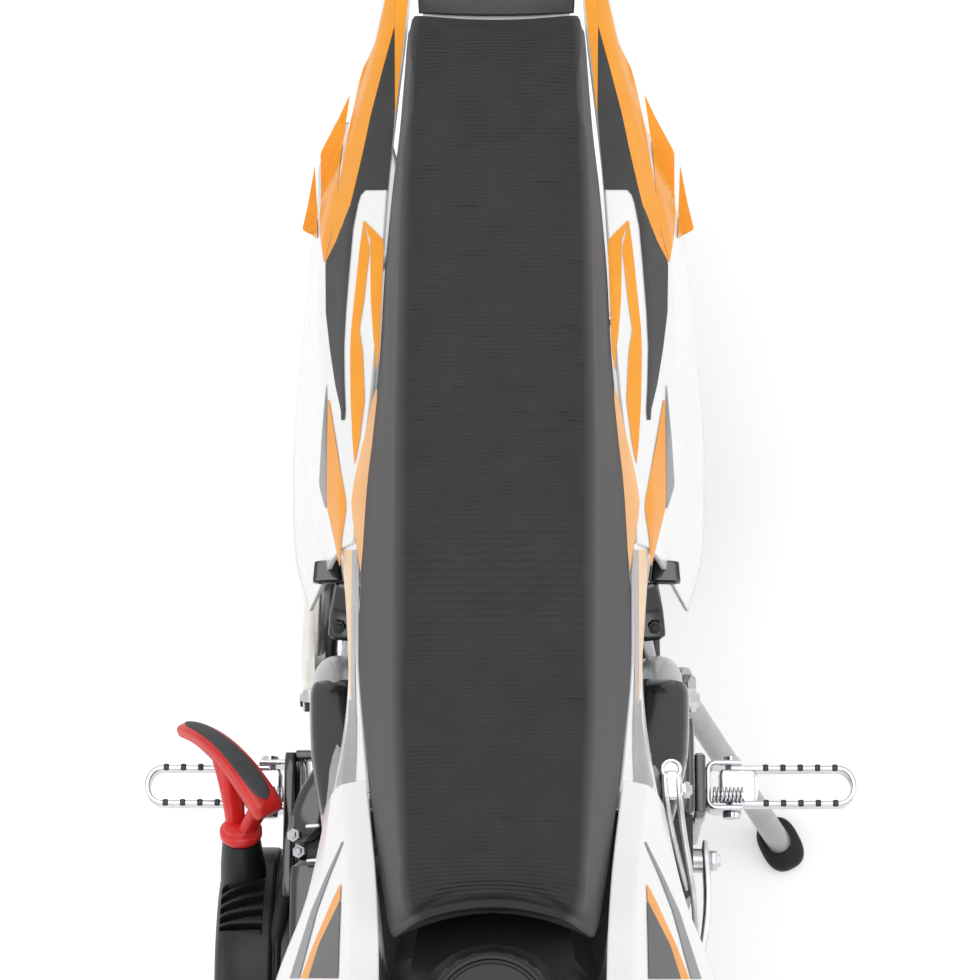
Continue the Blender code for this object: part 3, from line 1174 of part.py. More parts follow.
EXHAUST = ((0.0940, 0.0, 0.3565), (0.118, 0.0, 0.3501), (0.132, -0.020, 0.340), (0.133, -0.080, 0.290), (0.120, -0.104, 0.225),
           (0.060, -0.105, 0.205), (-0.080, -0.105, 0.206), (-0.122, -0.108, 0.224), (-0.200, -0.124, 0.243),
           (-0.250, -0.118, 0.300), (-0.290, -0.099, 0.331))
EXHAUST_RADIUS = 0.0115
SILENCER_START = Vector((-0.278, -0.100, 0.325))
SILENCER_END = Vector((-0.520, -0.090, 0.440))
SILENCER_RADIUS = 0.027
SILENCER_HANGER = Vector((-0.420, -0.0430, 0.5434))   # just under the right seat rail


def exhaust():
    return tube(EXHAUST, EXHAUST_RADIUS, bend=0.030, resolution=3)


def silencer():
    length = (SILENCER_END - SILENCER_START).length
    profile = [(0, 0), (0, 0.0150), (0.034, SILENCER_RADIUS), (length - 0.030, SILENCER_RADIUS), (length, 0.017),
               (length, 0.010), (length - 0.040, 0.010), (length - 0.040, 0)]
    turn = (SILENCER_END - SILENCER_START).to_track_quat("Y", "Z").to_matrix().to_4x4()
    body = joined([turned(profile, 24, Matrix.Translation(SILENCER_START) @ turn),
                   rod((-0.420, -0.090, 0.405), SILENCER_HANGER, 0.004, 8)])
    last, before = Vector(EXHAUST[-1]), Vector(EXHAUST[-2])
    beyond = last + (last - before).normalized() * CLEAR
    return cut(body, [tube([*EXHAUST[-3:-1], beyond], EXHAUST_RADIUS + 0.0007, bend=0.030)])


# Bodywork


def section_rows(table, between, slanted=False):
    """Rows of points across a panel, from its inner edge to its bottom edge."""
    rows = []
    for row in smooth(table, between):
        if slanted:
            x_in, x_out, values = row[0], row[1], row[2:]
        else:
            x_in, x_out, values = row[0], row[0], row[1:]
        count = len(values) // 2
        rows.append([(x_in + (x_out - x_in) * k / (count - 1), values[2 * k], values[2 * k + 1])
                     for k in range(count)])
    return rows


def side_panel():
    """The moulded panel, with a boss that reaches in to the seat rail."""
    rows = section_rows(SIDE_PANEL, 0)
    wall = sheet(rows, SHEET, side=1.0, keep=lambda i, j: j < 2 or i < PLATE_FRONT_ROW)
    x, y, z = PANEL_BOSS
    return joined([wall, rod((x, SUBFRAME_RADIUS + CLEAR + y, z), (x, PANEL_BOSS_END_Y, z), 0.007, 10)])


def shroud():
    """The moulded wing, with a boss that reaches in to the tank."""
    wall = sheet(section_rows(SHROUD, 0, slanted=True), SHEET, side=1.0)
    x, z = SHROUD_BOSS
    return joined([wall, rod((x, TANK_HALF_WIDTH + CLEAR, z), (x, SHROUD_BOSS_END_Y, z), 0.008, 10)])


def seat():
    rings = []
    for x, low_half, high_half, low, high in SEAT:
        rings.append([(x, -low_half, low), (x, -low_half + 0.001, low + 0.008), (x, -high_half - 0.006, high - 0.008),
                      (x, -high_half + 0.006, high), (x, 0, high + 0.002), (x, high_half - 0.006, high),
                      (x, high_half + 0.006, high - 0.008), (x, low_half - 0.001, low + 0.008), (x, low_half, low)])
    feet = []
    for side in (1, -1):
        low_y, high_y = sorted((side * (SEAT_FOOT_Y - 0.007), side * (SEAT_FOOT_Y + 0.007)))
        feet.append(box((SEAT_FOOT_X - 0.010, low_y, SEAT_FOOT_Z), (SEAT_FOOT_X + 0.010, high_y, SEAT_FOOT_Z + 0.024)))
    return joined([loft(rings), *feet])


def tank():
    rings = []
    for x, half, low, high in TANK:
        rings.append([(x, -half, low), (x, -half, high - 0.022), (x, -half * 0.8, high - 0.006), (x, 0, high),
                      (x, half * 0.8, high - 0.006), (x, half, high - 0.022), (x, half, low)])
    neck = rod((CAP_X, 0, 0.590), (CAP_X, 0, CAP_Z - 0.014), 0.046, 24, 0.034)
    around = [tube(side, SPAR_RADIUS + 0.0006, bend=0.035, resolution=2) for side in both(SPAR)]
    return cut(joined([loft(rings), neck]), around)


def fuel_cap():
    low = CAP_Z - 0.014 + CLEAR
    return joined([rod((CAP_X, 0, low), (CAP_X, 0, CAP_Z), CAP_RADIUS, 28),
                   rod((CAP_X, 0, CAP_Z - 0.001), (CAP_X, 0, CAP_Z + 0.006), CAP_RADIUS * 0.72, 24)])


def bodywork():
    for name, side in (("left", 1), ("right", -1)):
        panel, wing = side_panel(), shroud()
        if side < 0:
            panel, wing = [placed(p, Matrix.Scale(-1, 4, (0, 1, 0))) for p in (panel, wing)]
        node(f"side_panel_{name}", panel, "white_plastic", ROOT)
        node(f"shroud_{name}", wing, "white_plastic", ROOT)
    node("seat", seat(), "seat_vinyl", ROOT)
    node("fuel_tank", tank(), "black_plastic", ROOT)
    node("fuel_cap", fuel_cap(), "black_plastic", ROOT)
    node("rear_fender", arched(REAR_FENDER, SHEET, columns=5), "white_plastic", ROOT)


def chassis():
    node("main_frame", main_frame(), "frame_paint", ROOT)
    node("subframe", subframe(), "frame_paint", ROOT)
    node("swingarm", swingarm(), "arm_paint", ROOT)
    node("swingarm_bolt", through_bolt(PIVOT, 0.122), "chrome", ROOT)
    node("rear_axle", through_bolt(REAR_AXLE, 0.122), "chrome", ROOT)
    node("rear_shock", shock(), "steel", ROOT)
    node("rear_caliper", rear_caliper(), "engine_black", ROOT)
    for name, side in (("left", 1), ("right", -1)):
        node(f"foot_peg_{name}", foot_peg(side), "chrome", ROOT)
    node("stand_leg", stand_leg(), "frame_paint", STAND)
    node("stand_pad", stand_pad(), "grip_rubber", STAND)


def engine():
    node("engine_cases", engine_cases(), "engine_black", ROOT)
    node("recoil_starter", recoil_starter(), "black_plastic", ROOT)
    node("pull_handle", pull_handle(), "red_plastic", ROOT)
    node("cylinder", cylinder(), "engine_black", ROOT)
    node("carburettor", carburettor(), "alloy", ROOT)
    node("air_filter", air_filter(), "black_plastic", ROOT)
    node("exhaust_pipe", exhaust(), "exhaust_steel", ROOT)
    node("silencer", silencer(), "alloy", ROOT)
    node("front_sprocket", front_sprocket(), "steel", ROOT)
    node("chain", chain(), "steel", ROOT)
    node("foot_lever", foot_lever(), "alloy", ROOT)


def stand_the_bike():
    """Leans the bike on to its stand, then centres its bounding box over the origin, on z = 0."""
    ROOT.matrix_world = Matrix.Rotation(-LEAN, 4, "X")
    bpy.context.view_layer.update()
    corners = np.array([
        obj.matrix_world @ vertex.co
        for obj in BIKE.objects if obj.type == "MESH"
        for vertex in obj.data.vertices
    ])
    low, high = corners.min(axis=0), corners.max(axis=0)
    shift = Vector((-(low[0] + high[0]) / 2, -(low[1] + high[1]) / 2, -low[2]))
    ROOT.matrix_world = Matrix.Translation(shift) @ Matrix.Rotation(-LEAN, 4, "X")
    bpy.context.view_layer.update()


wheels()
steering()
chassis()
engine()
bodywork()
stand_the_bike()
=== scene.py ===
# %% [markdown]
# A small dirt bike, leaning on its side stand
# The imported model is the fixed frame: every wheel, tube and panel is already at its real size and
# place. This script gives each of them its finish, and adds the forms that are too fine for the
# frame. Everything is in metres.

# %% The frame and its box
import json
import math

import bmesh
import bpy
import numpy as np
from mathutils import Matrix, Vector

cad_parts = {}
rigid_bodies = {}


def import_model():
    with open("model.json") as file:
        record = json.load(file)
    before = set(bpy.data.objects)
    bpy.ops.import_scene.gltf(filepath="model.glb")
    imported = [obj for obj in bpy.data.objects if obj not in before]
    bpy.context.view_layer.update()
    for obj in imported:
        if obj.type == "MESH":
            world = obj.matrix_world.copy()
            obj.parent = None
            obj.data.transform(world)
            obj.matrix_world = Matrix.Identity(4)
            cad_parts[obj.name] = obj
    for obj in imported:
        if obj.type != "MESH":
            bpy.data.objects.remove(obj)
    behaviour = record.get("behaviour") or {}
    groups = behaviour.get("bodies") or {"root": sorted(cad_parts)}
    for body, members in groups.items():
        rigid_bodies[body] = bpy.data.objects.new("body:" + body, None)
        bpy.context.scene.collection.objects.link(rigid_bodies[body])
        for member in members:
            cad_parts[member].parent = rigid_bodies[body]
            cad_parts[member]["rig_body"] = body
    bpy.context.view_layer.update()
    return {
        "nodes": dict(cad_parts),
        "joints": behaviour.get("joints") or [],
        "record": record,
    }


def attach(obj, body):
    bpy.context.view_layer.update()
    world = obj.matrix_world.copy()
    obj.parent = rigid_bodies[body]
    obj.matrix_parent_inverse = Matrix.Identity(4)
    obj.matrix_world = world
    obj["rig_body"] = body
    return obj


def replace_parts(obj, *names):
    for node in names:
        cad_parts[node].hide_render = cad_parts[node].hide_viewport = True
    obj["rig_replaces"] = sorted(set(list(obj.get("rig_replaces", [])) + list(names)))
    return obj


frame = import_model()
SLOT_OF = {part["node"]: part["material_slot"] for part in frame["record"]["subparts"]}
BODY_OF = {name: node["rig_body"] for name, node in frame["nodes"].items()}

# %% [markdown]
# A parked bike leans, and a leaning shape is hard to write down. So new pieces are written in the
# bike's own upright axes: x forwards, y to the rider's left, z up, with both tyres touching z = 0.
# The rear wheel's joint says where that upright bike stands in the frame: its axis is the bike's y.

# %% The bike's own axes
REAR_AXLE = np.array([-0.470, 0.0, 0.190])
joints = {joint["name"]: joint for joint in frame["joints"]}
sideways = np.array(joints["rear_wheel_spin"]["axis"])
forwards = np.array([1.0, 0.0, 0.0])
UPRIGHT = np.column_stack([forwards, sideways, np.cross(forwards, sideways)])
ORIGIN = np.array(joints["rear_wheel_spin"]["pos_m"]) - UPRIGHT @ REAR_AXLE


def placed(points):
    """The bike's own coordinates turned into the frame's: the leaning axes times each point, plus the
    origin."""
    return np.asarray(points, float) @ UPRIGHT.T + ORIGIN


def in_bike(points):
    """The frame's coordinates turned back into the bike's own."""
    return (np.asarray(points, float) - ORIGIN) @ UPRIGHT


def unit(vectors):
    """Each vector divided by its length."""
    return vectors / np.maximum(np.linalg.norm(vectors, axis=-1, keepdims=True), 1e-12)


MIRROR = np.array([1.0, -1.0, 1.0])      # a point of the left side times this is its image on the right
SIDES = (("left", np.ones(3)), ("right", MIRROR))
print("lean", round(math.degrees(math.asin(-sideways[2])), 2), "degrees")

# %% [markdown]
# The photograph looks down on the saddle from a ladder, a little ahead of it, with a long lens.
# The lens is worked out from the scale at the saddle: 0.59 mm for each of the picture's 980 pixels.
# The saddle shows a little to the left of the pegs' middle, so the camera stands slightly to the left.

# %% The camera
PICTURE = 980                 # the photograph's pixels on a side
MM_PER_PIXEL = 0.59           # at the saddle
DISTANCE = 2.1
TILT = math.radians(16)
SIDESTEP = 0.032              # of the camera to the bike's left
TARGET = np.array([-0.234, -0.003, 0.575])    # what the middle of the picture looks at
SENSOR_MM = 36.0
back = np.array([math.sin(TILT), SIDESTEP / DISTANCE, math.cos(TILT)])
back /= np.linalg.norm(back)
picture_right = np.cross([-math.cos(TILT), 0.0, math.sin(TILT)], back)
picture_right /= np.linalg.norm(picture_right)
picture_up = np.cross(back, picture_right)
EYE = TARGET + DISTANCE * back
FOCAL_PIXELS = DISTANCE / (MM_PER_PIXEL / 1000)

camera = bpy.data.objects.new("camera", bpy.data.cameras.new("camera"))
camera.data.sensor_width = SENSOR_MM
camera.data.lens = SENSOR_MM * FOCAL_PIXELS / PICTURE
turn = np.eye(4)
turn[:3, :3] = UPRIGHT @ np.column_stack([picture_right, picture_up, back])
turn[:3, 3] = placed(EYE)
camera.matrix_world = Matrix(turn.tolist())
bpy.context.scene.collection.objects.link(camera)
bpy.context.scene.camera = camera
bpy.context.scene.view_settings.view_transform = "Standard"
print("lens", round(camera.data.lens, 1), "mm")


# %% [markdown]
# Finishes
# A finish is a Principled shader with a few nodes in front of it. One function adds any node with
# its settings, socket values and links, and one turns a hex colour into linear light.

# %% Node and colour helpers
def linear(hex_colour):
    """An sRGB hex colour as linear red, green, blue and alpha: the sRGB curve undone for each
    channel."""
    parts = np.array([int(hex_colour[i:i + 2], 16) for i in (1, 3, 5)]) / 255
    light = np.where(parts <= 0.04045, parts / 12.92, ((parts + 0.055) / 1.055) ** 2.4)
    return (*light.tolist(), 1.0)


def add(material, kind, settings=None, values=None, links=None):
    """Adds one shader node: its settings, the values of its sockets, and links from other nodes'
    outputs."""
    node = material.node_tree.nodes.new("ShaderNode" + kind)
    for name, value in (settings or {}).items():
        setattr(node, name, value)
    for socket, value in (values or {}).items():
        node.inputs[socket].default_value = value
    for socket, (source, output) in (links or {}).items():
        material.node_tree.links.new(source.outputs[output], node.inputs[socket])
    return node


def base_material(name, colour, roughness, metallic=0.0, **sockets):
    """A Principled material of one colour, with further sockets set directly."""
    material = bpy.data.materials.new(name)
    material.use_nodes = True
    shader = material.node_tree.nodes["Principled BSDF"]
    shader.inputs["Base Color"].default_value = linear(colour)
    shader.inputs["Roughness"].default_value = roughness
    shader.inputs["Metallic"].default_value = metallic
    for socket, value in sockets.items():
        shader.inputs[socket.replace("_", " ")].default_value = value
    return material, shader


def link(material, source, output, shader, socket):
    """Feeds one node's output into a socket of the shader."""
    material.node_tree.links.new(source.outputs[output], shader.inputs[socket])


MM = 1000.0                   # object coordinates are metres, so a pattern of 1 mm has scale 1000
TONE_SPREAD = (0.35, 0.65)    # the noise is all dark below the first and all light above the second


def mottled(material, shader, light, dark, size_mm):
    """Colour that drifts between two tones in soft patches of that size."""
    place = add(material, "TexCoord")
    patches = add(material, "TexNoise", values={"Scale": MM / size_mm, "Detail": 4.0},
                  links={"Vector": (place, "Object")})
    ramp = add(material, "ValToRGB", links={"Fac": (patches, "Fac")})
    for end, position, tone in zip(ramp.color_ramp.elements, TONE_SPREAD, (dark, light)):
        end.position, end.color = position, linear(tone)
    link(material, ramp, "Color", shader, "Base Color")
    return place


def grained(material, shader, place, size_mm, height_mm):
    """A bumpy skin: noise of that grain size, raised by that height."""
    grain = add(material, "TexNoise", values={"Scale": MM / size_mm, "Detail": 3.0},
                links={"Vector": (place, "Object")})
    bump = add(material, "Bump", values={"Strength": 1.0, "Distance": height_mm / MM},
               links={"Height": (grain, "Fac")})
    link(material, bump, "Normal", shader, "Normal")


def uneven_gloss(material, shader, place, size_mm, low, high):
    """Roughness that wanders between two values, as handling leaves it."""
    smears = add(material, "TexNoise", values={"Scale": MM / size_mm, "Detail": 5.0},
                 links={"Vector": (place, "Object")})
    spread = add(material, "MapRange", values={"To Min": low, "To Max": high},
                 links={"Value": (smears, "Fac")})
    link(material, spread, "Result", shader, "Roughness")


# %% [markdown]
# Painted and plated metal
# The frame is powder coated steel: the powder melts into a thick skin with a faint orange peel,
# about 2 mm from hump to hump. Plated and cast parts keep the default IOR of a metal, and differ
# in how their surface was made: blasted castings are rough, zinc plating is bright and even.

# %% Metal finishes
def painted_metal(name, light, dark, roughness, metallic, coat, shine=0.5):
    """Powder coat: a mottled colour, orange peel and a thin clear skin."""
    material, shader = base_material(name, light, roughness, metallic, Coat_Weight=coat,
                                     Coat_Roughness=0.12, Specular_IOR_Level=shine)
    place = mottled(material, shader, light, dark, size_mm=18)
    grained(material, shader, place, size_mm=2.0, height_mm=0.05)
    uneven_gloss(material, shader, place, size_mm=9, low=roughness - 0.05, high=roughness + 0.08)
    return material


def bare_metal(name, light, dark, low, high, grain_mm, height_mm, patch_mm=12):
    """Cast, ground or plated metal: tone and gloss vary with how the surface was made."""
    material, shader = base_material(name, light, low, 1.0)
    place = mottled(material, shader, light, dark, patch_mm)
    grained(material, shader, place, grain_mm, height_mm)
    uneven_gloss(material, shader, place, 5, low, high)    # smears about 5 mm across
    return material


SCRATCH_MM = 0.9              # width of a scratch, drawn coarser than a real one so that it shows
SCRATCH_STRETCH = 0.04        # the noise's scale along the bike, as a share of its scale across


def drawn_metal(name, light, dark, roughness):
    """Drawn and polished tube: fine scratches that run along the bike, made by squeezing the noise
    across them."""
    material, shader = base_material(name, light, roughness, 1.0)
    place = add(material, "TexCoord")
    along = add(material, "Mapping", values={"Scale": (SCRATCH_STRETCH, 1.0, 1.0)},
                links={"Vector": (place, "Object")})
    scratches = add(material, "TexNoise", values={"Scale": MM / SCRATCH_MM, "Detail": 6.0},
                    links={"Vector": (along, "Vector")})
    ramp = add(material, "ValToRGB", links={"Fac": (scratches, "Fac")})
    for end, tone in zip(ramp.color_ramp.elements, (dark, light)):
        end.color = linear(tone)
    link(material, ramp, "Color", shader, "Base Color")
    spread = add(material, "MapRange", values={"To Min": roughness - 0.08, "To Max": roughness + 0.12},
                 links={"Value": (scratches, "Fac")})
    link(material, spread, "Result", shader, "Roughness")
    bump = add(material, "Bump", values={"Strength": 0.6, "Distance": 0.03 / MM},
               links={"Height": (scratches, "Fac")})
    link(material, bump, "Normal", shader, "Normal")
    return material


# paint: light and dark tone, roughness, metallic, clear coat, shine
# bare metal: light and dark tone, least and most roughness, grain and its height in mm, patches in mm
FINISH = {
    "frame_paint": painted_metal("silver_powder_coat", "#B4B5B6", "#A6A7A9", 0.32, 0.55, 0.3),
    "arm_paint": painted_metal("graphite_powder_coat", "#303133", "#28292B", 0.34, 0.0, 0.2, 0.35),
    "engine_black": painted_metal("black_cast_alloy_paint", "#19191B", "#121214", 0.30, 0.0, 0.15, 0.35),
    "fork_black": painted_metal("black_fork_paint", "#161719", "#101113", 0.26, 0.0, 0.2, 0.4),
    "rim_black": painted_metal("black_anodised_alloy", "#1A1B1D", "#151618", 0.30, 0.3, 0.1),
    "alloy": bare_metal("cast_aluminium", "#D3D4D6", "#BFC0C3", 0.26, 0.42, 0.7, 0.06),
    "chrome": bare_metal("bright_zinc_plate", "#CDCED1", "#BBBCC0", 0.12, 0.22, 1.5, 0.02),
    "steel": bare_metal("ground_steel", "#A3A5A8", "#8C8E92", 0.28, 0.45, 0.8, 0.04),
    "exhaust_steel": bare_metal("polished_stainless_tube", "#E4E2DE", "#D3CFC8", 0.14, 0.26, 1.0, 0.02,
                                patch_mm=40),
}
SILENCER_SKIN = drawn_metal("brushed_aluminium_tube", "#DADBDD", "#B9BABD", 0.30)
print("metal finishes", sorted(FINISH))

# %% [markdown]
# Plastics and rubber
# Bodywork is injection moulded polypropylene: white right through, glossy, with the slow waves of
# a cooled moulding. Covers and the tank are moulded in a spark-eroded tool, whose fine grain makes
# black look satin. Rubber is matt, and a fresh tyre still shows the bloom of its mould.


# %% Plastic and rubber finishes
def moulded_plastic(name, light, dark, roughness, grain_mm, height_mm, coat=0.0, shine=0.5):
    """Moulded plastic or rubber: slow changes of tone, the mould's grain, and gloss that wanders."""
    material, shader = base_material(name, light, roughness, 0.0, Coat_Weight=coat, Coat_Roughness=0.08,
                                     Specular_IOR_Level=shine)
    place = mottled(material, shader, light, dark, size_mm=30)
    grained(material, shader, place, grain_mm, height_mm)
    uneven_gloss(material, shader, place, size_mm=14, low=roughness - 0.04, high=roughness + 0.06)
    return material


# name, light and dark tone, roughness, grain and its height in mm, clear coat, shine
PLASTICS = {
    "white_plastic": ("white_polypropylene", "#F8F8F8", "#F6F6F7", 0.24, 6.0, 0.03, 0.15),
    "black_plastic": ("black_grained_nylon", "#1C1D1E", "#161718", 0.40, 0.6, 0.05, 0.0, 0.35),
    "red_plastic": ("red_glass_filled_nylon", "#DF2B28", "#D02220", 0.34, 1.2, 0.03, 0.05),
    "grip_rubber": ("black_soft_rubber", "#1A1B1C", "#141516", 0.62, 0.8, 0.08, 0.0, 0.35),
    "tyre_rubber": ("black_tyre_rubber", "#1C1C1D", "#141415", 0.72, 0.9, 0.10, 0.0, 0.35),
}
FINISH.update({slot: moulded_plastic(*facts) for slot, facts in PLASTICS.items()})
GLOSS_BLACK = moulded_plastic("gloss_black_nylon", "#1B1C1D", "#151617", 0.17, 8.0, 0.02, 0.6, 0.5)
HANDLE_INSERT = moulded_plastic("grey_handle_rubber", "#424345", "#37383A", 0.62, 0.8, 0.08)
print("finishes", len(FINISH))

# %% [markdown]
# Printed film
# The stripes on the panels are screen printed on clear vinyl film, stuck on and slightly raised.
# Each ink is its own material, a little less glossy than the panel under it. The lilac and grey
# films on the narrow strips are not print: they are painted shade where the strip curves down.


# %% Film finishes
def printed_film(name, light, dark):
    """Ink under smooth vinyl: two near tones and the long waves of a hand-laid film."""
    material, shader = base_material(name, light, 0.34, 0.0, Specular_IOR_Level=0.3)
    place = mottled(material, shader, light, dark, size_mm=25)
    grained(material, shader, place, size_mm=5.0, height_mm=0.02)
    return material


INK = {
    "orange": printed_film("orange_printed_film", "#FDA832", "#F9A22C"),
    "peach": printed_film("peach_printed_film", "#FADDBB", "#F8D6AE"),
    # the lilac and grey films are painted shade on the narrow strips, not ink
    "lilac_shade": printed_film("lilac_painted_shade_film", "#C6BEC2", "#BDB6BA"),
    "grey_shade": printed_film("grey_painted_shade_film", "#BEBEBF", "#A9A9AB"),
    "pale_orange": printed_film("faded_orange_film", "#FDC58E", "#FBBE82"),
    "charcoal": printed_film("charcoal_printed_film", "#3E3E3F", "#373738"),
    "grey": printed_film("grey_printed_film", "#8E8F91", "#88898B"),
    "white": printed_film("white_printed_film", "#F8F8F8", "#F3F3F4"),
}
print("inks", sorted(INK))

# %% [markdown]
# Saddle vinyl
# The cover is calendered vinyl over foam. Its top is embossed with ribs and a leather-like stipple
# so that a rider doesn't slide, and its skirts are smooth and painted a little paler, as painted
# light where the side lamps fall on them. The ribs are real geometry; only the stipple, which is
# finer than a millimetre, is a bump. The piece's own UV map says how far across the cover a point
# is, which tells the top from the skirts, and its attribute "pressed" says how high on a rib: the
# grooves are darkened as painted shade and with some dust, and the ribs lightened as painted light.

# %% Vinyl finish
TOP_ENDS, SKIRT_BEGINS = 0.90, 1.12      # on the UV map, where 1 is the edge of the flat top
# painted shade and some dust in the grooves, painted light on the ribs
RIB_SHADE = (0.80, 1.20)      # the tone in a groove and on a rib, as shares of the plain tone
VINYL_PATCH_MM, STIPPLE_MM, STIPPLE_HEIGHT_MM = 22, 1.1, 0.25
COLOUR_A, COLOUR_B = 6, 7     # the Mix node's two colour sockets


def saddle_vinyl():
    """Two tones blended from the top to the skirts, whose paler tone is painted light, mottled in soft
    patches, with painted shade and some dust in the grooves and painted light on the ribs, under a fine
    stipple.
    """
    material, shader = base_material("embossed_charcoal_vinyl", "#2C2C2D", 0.66, 0.0,
                                     Specular_IOR_Level=0.3)
    cover = add(material, "UVMap", {"uv_map": "cover"})
    parts = add(material, "SeparateXYZ", links={"Vector": (cover, "UV")})
    place = add(material, "TexCoord")
    patches = add(material, "TexNoise", values={"Scale": MM / VINYL_PATCH_MM, "Detail": 5.0},
                  links={"Vector": (place, "Object")})
    tone = add(material, "ValToRGB", links={"Fac": (patches, "Fac")})
    for end, position, colour in zip(tone.color_ramp.elements, (0.3, 0.7), ("#2B2B2C", "#313132")):
        end.position, end.color = position, linear(colour)
    # the skirts are painted paler than the top: painted light from the side lamps
    skirt_painted_light = add(material, "MapRange", values={"From Min": TOP_ENDS, "From Max": SKIRT_BEGINS},
                links={"Value": (parts, "Y")})
    pressed = add(material, "Attribute", {"attribute_name": "pressed"})
    # the rib's height darkens the grooves and lightens the ribs: painted shade and light, partly dust
    rib_shade_and_dust = add(material, "MapRange", values={"From Min": -1.0, "From Max": 1.0, "To Min": RIB_SHADE[0],
                                             "To Max": RIB_SHADE[1]},
               links={"Value": (pressed, "Fac")})
    shaded = add(material, "VectorMath", {"operation": "SCALE"}, {},
                 {0: (tone, "Color"), 3: (rib_shade_and_dust, "Result")})
    blend = add(material, "Mix", {"data_type": "RGBA"}, {COLOUR_B: linear("#5E5E5F")},
                {0: (skirt_painted_light, "Result"), COLOUR_A: (shaded, 0)})
    link(material, blend, 2, shader, "Base Color")
    stipple = add(material, "TexNoise", values={"Scale": MM / STIPPLE_MM, "Detail": 4.0,
                                                "Roughness": 0.65},
                  links={"Vector": (place, "Object")})
    bump = add(material, "Bump", values={"Strength": 0.7, "Distance": STIPPLE_HEIGHT_MM / MM},
               links={"Height": (stipple, "Fac")})
    link(material, bump, "Normal", shader, "Normal")
    return material


FINISH["seat_vinyl"] = saddle_vinyl()
missing = sorted(set(SLOT_OF.values()) - set(FINISH))
print("slots without a finish", missing)

# %% [markdown]
# Stage and light
# A white cyclorama floor and soft, even light from above and both sides, as in a product studio.
# The camera, and what mirrors or passes light, see the floor and the sky as plain white, and the
# floor keeps the bike's shadow.


# %% Floor
FLOOR_HALF = 6.0              # half the side of the square floor
# lifts the open floor to white for the camera, and leaves the shadow its tone
FLOOR_GLOW = 0.30


def seen_as_white(holder, rays):
    """1 for rays from the camera and for mirrored or transmitted ones, and 0 for the rest."""
    seen = add(holder, "Math", {"operation": "MAXIMUM"}, {},
               {0: (rays, "Is Camera Ray"), 1: (rays, "Is Glossy Ray")})
    return add(holder, "Math", {"operation": "MAXIMUM"}, {},
               {0: (seen, 0), 1: (rays, "Is Transmission Ray")})


def stage_floor():
    """A square plane at z = 0, as a two by two grid."""
    ends = (-FLOOR_HALF, FLOOR_HALF)
    corners = [(x, y, 0.0) for y in ends for x in ends]
    mesh = bpy.data.meshes.new("floor")
    mesh.from_pydata(corners, [], [(0, 1, 3, 2)])
    floor = bpy.data.objects.new("floor", mesh)
    bpy.context.scene.collection.objects.link(floor)
    material, shader = base_material("white_paper_backdrop", "#FDFDFD", 0.9,
                                     Emission_Color=(1.0, 1.0, 1.0, 1.0))
    rays = add(material, "LightPath")
    seen = seen_as_white(material, rays)
    glow = add(material, "Math", {"operation": "MULTIPLY"}, {1: FLOOR_GLOW}, {0: (seen, 0)})
    link(material, glow, 0, shader, "Emission Strength")
    mesh.materials.append(material)
    return floor


floor = stage_floor()
print("floor", floor.name)

# %% Light
world = bpy.data.worlds.new("studio")
world.use_nodes = True
bpy.context.scene.world = world
sky = world.node_tree.nodes["Background"]
sky.inputs["Color"].default_value = (1.0, 1.0, 1.0, 1.0)
SKY_FILL = 0.55               # what the sky adds to a matt surface, where 1 is white
seen = seen_as_white(world, add(world, "LightPath"))
level = add(world, "MapRange", values={"To Min": SKY_FILL, "To Max": 1.0}, links={"Value": (seen, 0)})
world.node_tree.links.new(level.outputs["Result"], sky.inputs["Strength"])


def softbox(name, where, size, share):
    """A square area lamp aimed at the saddle. Its power makes a white matt face turned to it glow by
    that share: a lamp of P watts at distance d lights such a face with P / (pi d squared), and white
    sends back 1 / pi of that."""
    lamp = bpy.data.lights.new(name, "AREA")
    lamp.size = size
    aim = Vector(placed(TARGET)) - Vector(where)
    lamp.energy = share * math.pi ** 2 * aim.length ** 2
    holder = bpy.data.objects.new(name, lamp)
    holder.location = where
    holder.rotation_euler = aim.to_track_quat("-Z", "Y").to_euler()
    bpy.context.scene.collection.objects.link(holder)
    return holder


# name, place in the frame, side of the square, share of white that it adds
LAMPS = (
    ("overhead", (-0.6, 0.3, 3.9), 2.6, 0.40),
    ("left_side", (-0.1, 2.6, 1.5), 1.6, 0.18),
    ("right_side", (0.2, -2.6, 1.7), 1.6, 0.18),
    ("ahead", (2.8, 0.2, 1.9), 1.6, 0.12),
)
for lamp in LAMPS:
    softbox(*lamp)
print("lamps", [light.name for light in bpy.data.lights])

# %% [markdown]
# Surfaces from numpy
# Most new pieces are a grid of points: rows along the piece, columns across or around it. One
# function joins neighbours into faces, one closes the ends of a solid, and one puts the mesh in the
# frame. A CAD node's own mesh is never touched: where it needs smooth shading, a copy is welded.


# %% Mesh helpers
SMOOTH_BELOW = 35.0           # degrees: a sharper bend between two faces shows as an edge


def grid_faces(rows, columns, around=False):
    """Quads between neighbouring rows and columns; where it runs around, the last column joins the
    first."""
    index = np.arange(rows * columns).reshape(rows, columns)
    if around:
        index = np.concatenate([index, index[:, :1]], axis=1)
    quads = np.stack([index[:-1, :-1], index[:-1, 1:], index[1:, 1:], index[1:, :-1]], axis=-1)
    return quads.reshape(-1, 4)


def solid_faces(rows, columns, first=0):
    """The faces of rows of rings, closed by one face at each end; first is the number of their first
    point."""
    ends = [list(range(columns)), list(range((rows - 1) * columns, rows * columns))]
    sides = grid_faces(rows, columns, around=True).tolist()
    return [[first + k for k in face] for face in sides + ends]


def new_piece(name, points, faces, material, body, replaces=(), smooth_angle=SMOOTH_BELOW):
    """A piece from points in the bike's own axes: placed, shaded, painted and riding on its body."""
    mesh = bpy.data.meshes.new(name)
    mesh.from_pydata(placed(points).tolist(), [], [[int(k) for k in face] for face in faces])
    return finished(name, mesh, material, body, replaces, smooth_angle)


